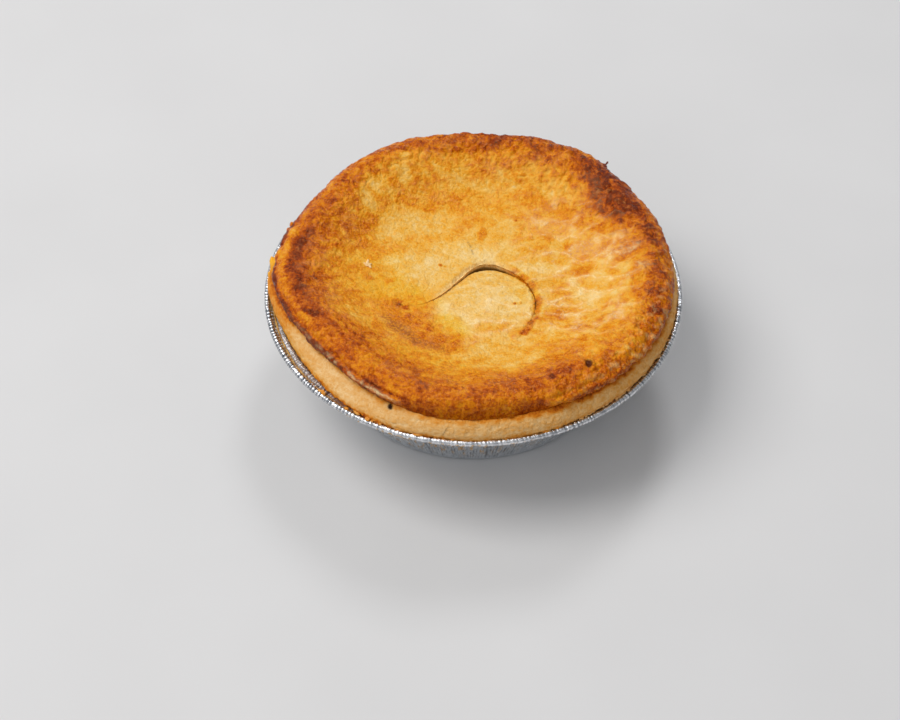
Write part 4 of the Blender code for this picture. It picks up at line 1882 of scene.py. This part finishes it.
    def _marks(self, angle: Array, radius: Array, height: Array, points: Array) -> dict[str, Array]:
        """Where fat has baked on the foil, where the lower wall takes its painted shade and reflection,
        and where the foil is duller.

        Args:
            angle: the angle of each point, in radians.
            radius: the radius of the foil's middle there.
            height: the height of the foil's middle there.
            points: the creased foil's points.

        Returns:
            The named values.
        """
        degrees = in_degrees(angle)
        grain = Grain(self.seed + 7)
        by_bead = self._within(radius, height, 62.6, 63.4)
        grease = 0.6 * by_bead * bell(degrees, 212, 24, 4)
        specks = smooth_step(0.13, 0.26, grain.layered(points, 1.4, 2))
        front = 0.20 + 1.0 * bell(degrees, 256, 22)
        grease += 1.2 * specks * front * smooth_step(3.0, 12.0, height) * (height < 31.5)
        on_ledge = self._within(radius, height, self.ledge_from, 63.3)
        grease += 1.1 * on_ledge * bell(degrees, 325, 42, 4)
        # Painted shade and reflection on the lower wall, below 27 mm.
        shade = 1 - smooth_step(27.0, 30.5, height)
        frost = self._within(radius, height, self.ledge_from, self.bead_from).astype(float)
        return {"grease": np.clip(grease, 0, 1), "shade": np.clip(shade, 0, 1), "frost": frost}


# ---- crumbs, flakes and juice ----


@dataclass(frozen=True)
class Morsel:
    """One crumb: where it lies, its half sizes and its turn about +Z in degrees."""

    x: float
    y: float
    z: float
    size: Triple
    turn: float


@dataclass
class Scatter:
    """Loose bits of one kind, each a lumpy pebble of its own."""

    name: str
    slot: str
    morsels: Sequence[Morsel]
    lumpy: float = 0.45
    seed: int = 71
    detail: int = 3

    def build(self, finish: Material, marks: dict[str, float]) -> Thing:
        """Builds all the bits as one piece.

        Args:
            finish: their material.
            marks: the values that every point carries.

        Returns:
            The piece.
        """
        ball_points, ball_faces = self._ball()
        points, faces = [], []
        for index, morsel in enumerate(self.morsels):
            grain = Grain(self.seed + index)
            lump = ball_points * (1 + self.lumpy * grain.smooth(ball_points, 0.8)[:, None])
            lump = lump * morsel.size
            turn = math.radians(morsel.turn)
            cos, sin = math.cos(turn), math.sin(turn)
            spin = np.array([[cos, -sin, 0], [sin, cos, 0], [0, 0, 1]])
            faces += (ball_faces + len(points) * len(ball_points)).tolist()
            points.append(lump @ spin.T + (morsel.x, morsel.y, morsel.z))
        every = np.concatenate(points)
        shell = Shell(every, faces, {name: np.full(len(every), value) for name, value in marks.items()})
        return shell.piece(self.name, finish)

    def _ball(self) -> tuple[Array, Array]:
        """A ball of radius 1.

        Returns:
            The points, and the triangles as index triples.
        """
        rows, around = 4 * self.detail, 6 * self.detail
        tilt = np.pi * np.arange(1, rows) / rows
        turn = TURN * np.arange(around) / around
        rings = []
        for lean in tilt:
            level = np.full(around, np.cos(lean))
            wide = np.sin(lean)
            rings.append(np.column_stack([wide * np.cos(turn), wide * np.sin(turn), level]))
        points = np.concatenate([*rings, [[0, 0, 1], [0, 0, -1]]])
        here, after = np.arange(around), (np.arange(around) + 1) % around
        top, bottom = len(points) - 2, len(points) - 1
        faces = [np.stack([np.full(around, top), here, after], axis=1)]
        for row in range(rows - 2):
            a, b = row * around, (row + 1) * around
            faces.append(np.stack([a + here, b + here, b + after], axis=1))
            faces.append(np.stack([a + here, b + after, a + after], axis=1))
        a = (rows - 2) * around
        faces.append(np.stack([np.full(around, bottom), a + after, a + here], axis=1))
        return points, np.concatenate(faces)


@dataclass
class JuiceLine:
    """The thread of baked juice along the inside of the tin's rim, at the front left."""

    form: PieForm = field(default_factory=PieForm)
    start: float = 173.0
    end: float = 238.0
    height: float = 31.75
    seed: int = 91
    # By angle: the radius of the thread's middle, and half its thickness.
    middle: tuple[Pair, ...] = ((173, 62.4), (192, 62.3), (203, 62.6), (212, 63.0), (238, 63.1))
    thickness: tuple[Pair, ...] = (
        (173, 0.2), (182, 0.36), (196, 0.32), (208, 0.24), (225, 0.2), (238, 0.1),
    )

    def build(self, finish: Material) -> Thing:
        """Builds the thread, thinning to both ends.

        Args:
            finish: its material.

        Returns:
            The piece.
        """
        steps, around = 180, 10
        share = np.linspace(0, 1, steps)
        angle = np.radians(self.start + (self.end - self.start) * share)
        grain = Grain(self.seed)
        spot = np.column_stack([share * 60, 0 * share, 0 * share])
        wide = read_table(self.thickness, np.degrees(angle)) * (1 + 0.4 * grain.smooth(spot, 3.0))
        wide *= np.sqrt(np.sin(np.pi * np.clip(share, 0.004, 0.996)))
        radius = read_table(self.middle, np.degrees(angle)) + 0.15 * grain.smooth(spot + 40, 7.0)
        height = self.height + 0.25 * grain.smooth(spot + 80, 9.0)
        rings = []
        for turn in TURN * np.arange(around) / around:
            level = height + 1.3 * wide * np.sin(turn)
            rings.append(self.form.place(radius + wide * np.cos(turn), angle, level))
        points = np.stack(rings, axis=1).reshape(-1, 3)
        return Shell(points, turned_faces(steps, around)).piece("juice_line", finish)


# ---- floor, lights and camera ----


@dataclass(frozen=True)
class Lamp:
    """A soft square light: where it comes from, how wide it is and how strong."""

    name: str
    azimuth: float
    elevation: float
    distance: float
    width: float
    power: float
    colour: Colour = (1.0, 1.0, 1.0)

    def hang(self) -> None:
        """Adds the light, aimed at the pie."""
        light = bpy.data.lights.new(self.name, "AREA")
        light.shape = "SQUARE"
        light.size = self.width
        light.energy = self.power
        light.color = self.colour
        lamp = bpy.data.objects.new(self.name, light)
        turn, rise = math.radians(self.azimuth), math.radians(self.elevation)
        away = Vector((math.cos(rise) * math.cos(turn), math.cos(rise) * math.sin(turn), math.sin(rise)))
        lamp.location = away * self.distance
        lamp.rotation_euler = away.to_track_quat("Z", "Y").to_euler()
        bpy.context.scene.collection.objects.link(lamp)


@dataclass
class Studio:
    """A pale floor, soft light from the left and a camera looking down from the front."""

    elevation: float = 48.15
    distance: float = 738.0
    target: Pair = (-7.3, -1.2)
    lens: float = 92.0
    roll: float = -0.1
    ambient: float = 0.30
    # Half the width of the floor and how far it lies below the tin, in metres.
    floor_half: float = 3.0
    floor_drop: float = 0.0002
    lamps: tuple[Lamp, ...] = (
        Lamp("key_window", 172.0, 58.0, 1.7, 1.0, 18.2, (1.0, 0.99, 0.97)),
        Lamp("front_fill", 245.0, 45.0, 1.8, 1.6, 7.0, (1.0, 1.0, 1.0)),
        Lamp("back_window", 78.0, 46.0, 1.8, 0.4, 7.0, (0.98, 0.99, 1.0)),
    )

    def build(self) -> None:
        """Builds the floor, the lights, the sky and the camera."""
        self._floor()
        for lamp in self.lamps:
            lamp.hang()
        world = bpy.data.worlds.new("soft_room")
        world.use_nodes = True
        sky = world.node_tree.nodes["Background"]
        sky.inputs["Color"].default_value = (0.97, 0.985, 1.0, 1.0)
        sky.inputs["Strength"].default_value = self.ambient
        bpy.context.scene.world = world
        bpy.context.scene.view_settings.view_transform = "Standard"
        self._camera()

    def _floor(self) -> None:
        """Adds the table top, which isn't part of the pie."""
        mesh = bpy.data.meshes.new("table_top")
        half, low = self.floor_half, -self.floor_drop
        corners = [(-half, -half, low), (half, -half, low), (half, half, low), (-half, half, low)]
        mesh.from_pydata(corners, [], [(0, 1, 2, 3)])
        mesh.materials.append(PlainFloor().material())
        floor = bpy.data.objects.new("table_top", mesh)
        bpy.context.scene.collection.objects.link(floor)

    def _camera(self) -> None:
        """Adds the camera."""
        view = bpy.data.cameras.new("view")
        view.lens = self.lens
        view.sensor_width = 36.0
        view.clip_start = 0.01
        camera = bpy.data.objects.new("view", view)
        rise = math.radians(self.elevation)
        away = Vector((0.0, -math.cos(rise), math.sin(rise)))
        camera.location = Vector((*self.target, 0.0)) * MM + away * self.distance * MM
        facing = away.to_track_quat("Z", "Y")
        camera.rotation_euler = facing.to_euler()
        camera.rotation_euler.rotate_axis("Z", math.radians(self.roll))
        bpy.context.scene.collection.objects.link(camera)
        bpy.context.scene.camera = camera


# ---- the whole pie ----


def rim_flakes(first: float, last: float, count: int, radius: float, height: float) -> list[Morsel]:
    """Flakes of crust caught along the tin's rim.

    Args:
        first: the angle of the first flake, in degrees.
        last: the angle of the last one.
        count: how many there are.
        radius: how far out they lie.
        height: how high they lie.

    Returns:
        The flakes.
    """
    draw = np.random.default_rng(count)
    flakes = []
    for angle in np.linspace(first, last, count):
        turn = math.radians(angle + draw.uniform(-4.0, 4.0))
        size = (draw.uniform(0.25, 0.6), draw.uniform(0.4, 1.3), draw.uniform(0.25, 0.5))
        out = radius + draw.uniform(-0.45, 0.35)
        level = height + draw.uniform(-0.4, 0.25)
        place = (out * math.cos(turn), PieForm.oval * out * math.sin(turn), level)
        flakes.append(Morsel(*place, size, math.degrees(turn) + draw.uniform(-30, 30)))
    return flakes


def star_flake(lid: PastryLid) -> list[Morsel]:
    """The strokes of a pale flake, like a small star, on the left of the lid.

    Args:
        lid: the lid that it lies on.

    Returns:
        The strokes.
    """
    strokes = (
        (-32.8, 5.0, 1.3, 12), (-33.4, 4.9, 1.2, -48), (-32.9, 5.8, 1.2, 80), (-32.2, 4.4, 1.0, -66),
    )
    morsels = []
    for x, y, half, turn in strokes:
        place = lid.surface(x, y)
        morsels.append(Morsel(place[0], place[1], place[2] + 0.05, (half, 0.42, 0.22), turn))
    return morsels


def marks_of(names: Sequence[str], **given: float) -> dict[str, float]:
    """A finish's marks, each 0 unless it is given.

    Args:
        names: the marks that the finish reads.
        given: the values of some of them.

    Returns:
        A value for each mark.
    """
    return {name: given.get(name, 0.0) for name in names}


def loose_bits(lid: PastryLid, baked: Material, crust: Material) -> None:
    """Builds the flakes, crumbs, drips and knobs.

    Args:
        lid: the lid that some of them lie on.
        baked: the lid's finish.
        crust: the case's finish.
    """
    browned = rim_flakes(-135, -68, 24, 63.5, 32.35)
    Scatter("crust_flakes", "case_pastry", browned).build(crust, marks_of(CRUST_MARKS, brown=0.42))
    ragged = rim_flakes(-64, 14, 64, 62.9, 32.55)
    Scatter("pale_flakes", "case_pastry", ragged).build(crust, marks_of(CRUST_MARKS, brown=0.22))
    star = Scatter("pale_star", "lid_pastry", star_flake(lid), lumpy=0.2)
    star.build(crust, marks_of(CRUST_MARKS))
    chips = [
        Morsel(42.3, 42.1, 44.6, (0.4, 0.9, 0.45), 40),
        Morsel(42.9, 42.6, 45.2, (0.7, 0.3, 0.35), 60),
    ]
    Scatter("burnt_crumbs", "lid_pastry", chips).build(BURNT_CRUMB.material(), {})
    drips = [
        Morsel(-62.6, 8.6, 34.4, (1.0, 2.6, 1.6), 8),
        Morsel(-63.2, 4.6, 33.2, (0.8, 1.6, 1.0), 3),
    ]
    egg = Scatter("egg_drips", "case_pastry", drips, lumpy=0.25)
    egg.build(crust, marks_of(CRUST_MARKS, brown=0.1, wash=0.95))
    knobs = [
        Morsel(-56.6, 19.4, 40.3, (0.9, 1.3, 1.1), 20),
        Morsel(-57.4, 17.6, 39.6, (0.9, 1.6, 1.0), 16),
    ]
    edge = Scatter("edge_knobs", "lid_pastry", knobs, lumpy=0.2)
    edge.build(baked, marks_of(LID_MARKS, toast=0.58))


def main() -> None:
    """Builds the pie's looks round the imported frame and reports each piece."""
    logging.basicConfig(level=logging.INFO, format="%(name)s: %(message)s")
    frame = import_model()
    baked = BakedLid().material()
    lid = PastryLid()
    lid.build(baked)
    crust = PaleCrust().material()
    PastryCase().build(crust)
    FoilTin().build(CrimpedFoil().material())
    filling = frame["nodes"]["filling"]
    filling.data.materials.clear()
    filling.data.materials.append(GRAVY.material())
    LOG.info("filling: kept from the frame, dressed as gravy")
    loose_bits(lid, baked, crust)
    JuiceLine().build(BAKED_JUICE.material())
    Studio().build()


if __name__ == "__main__":
    main()
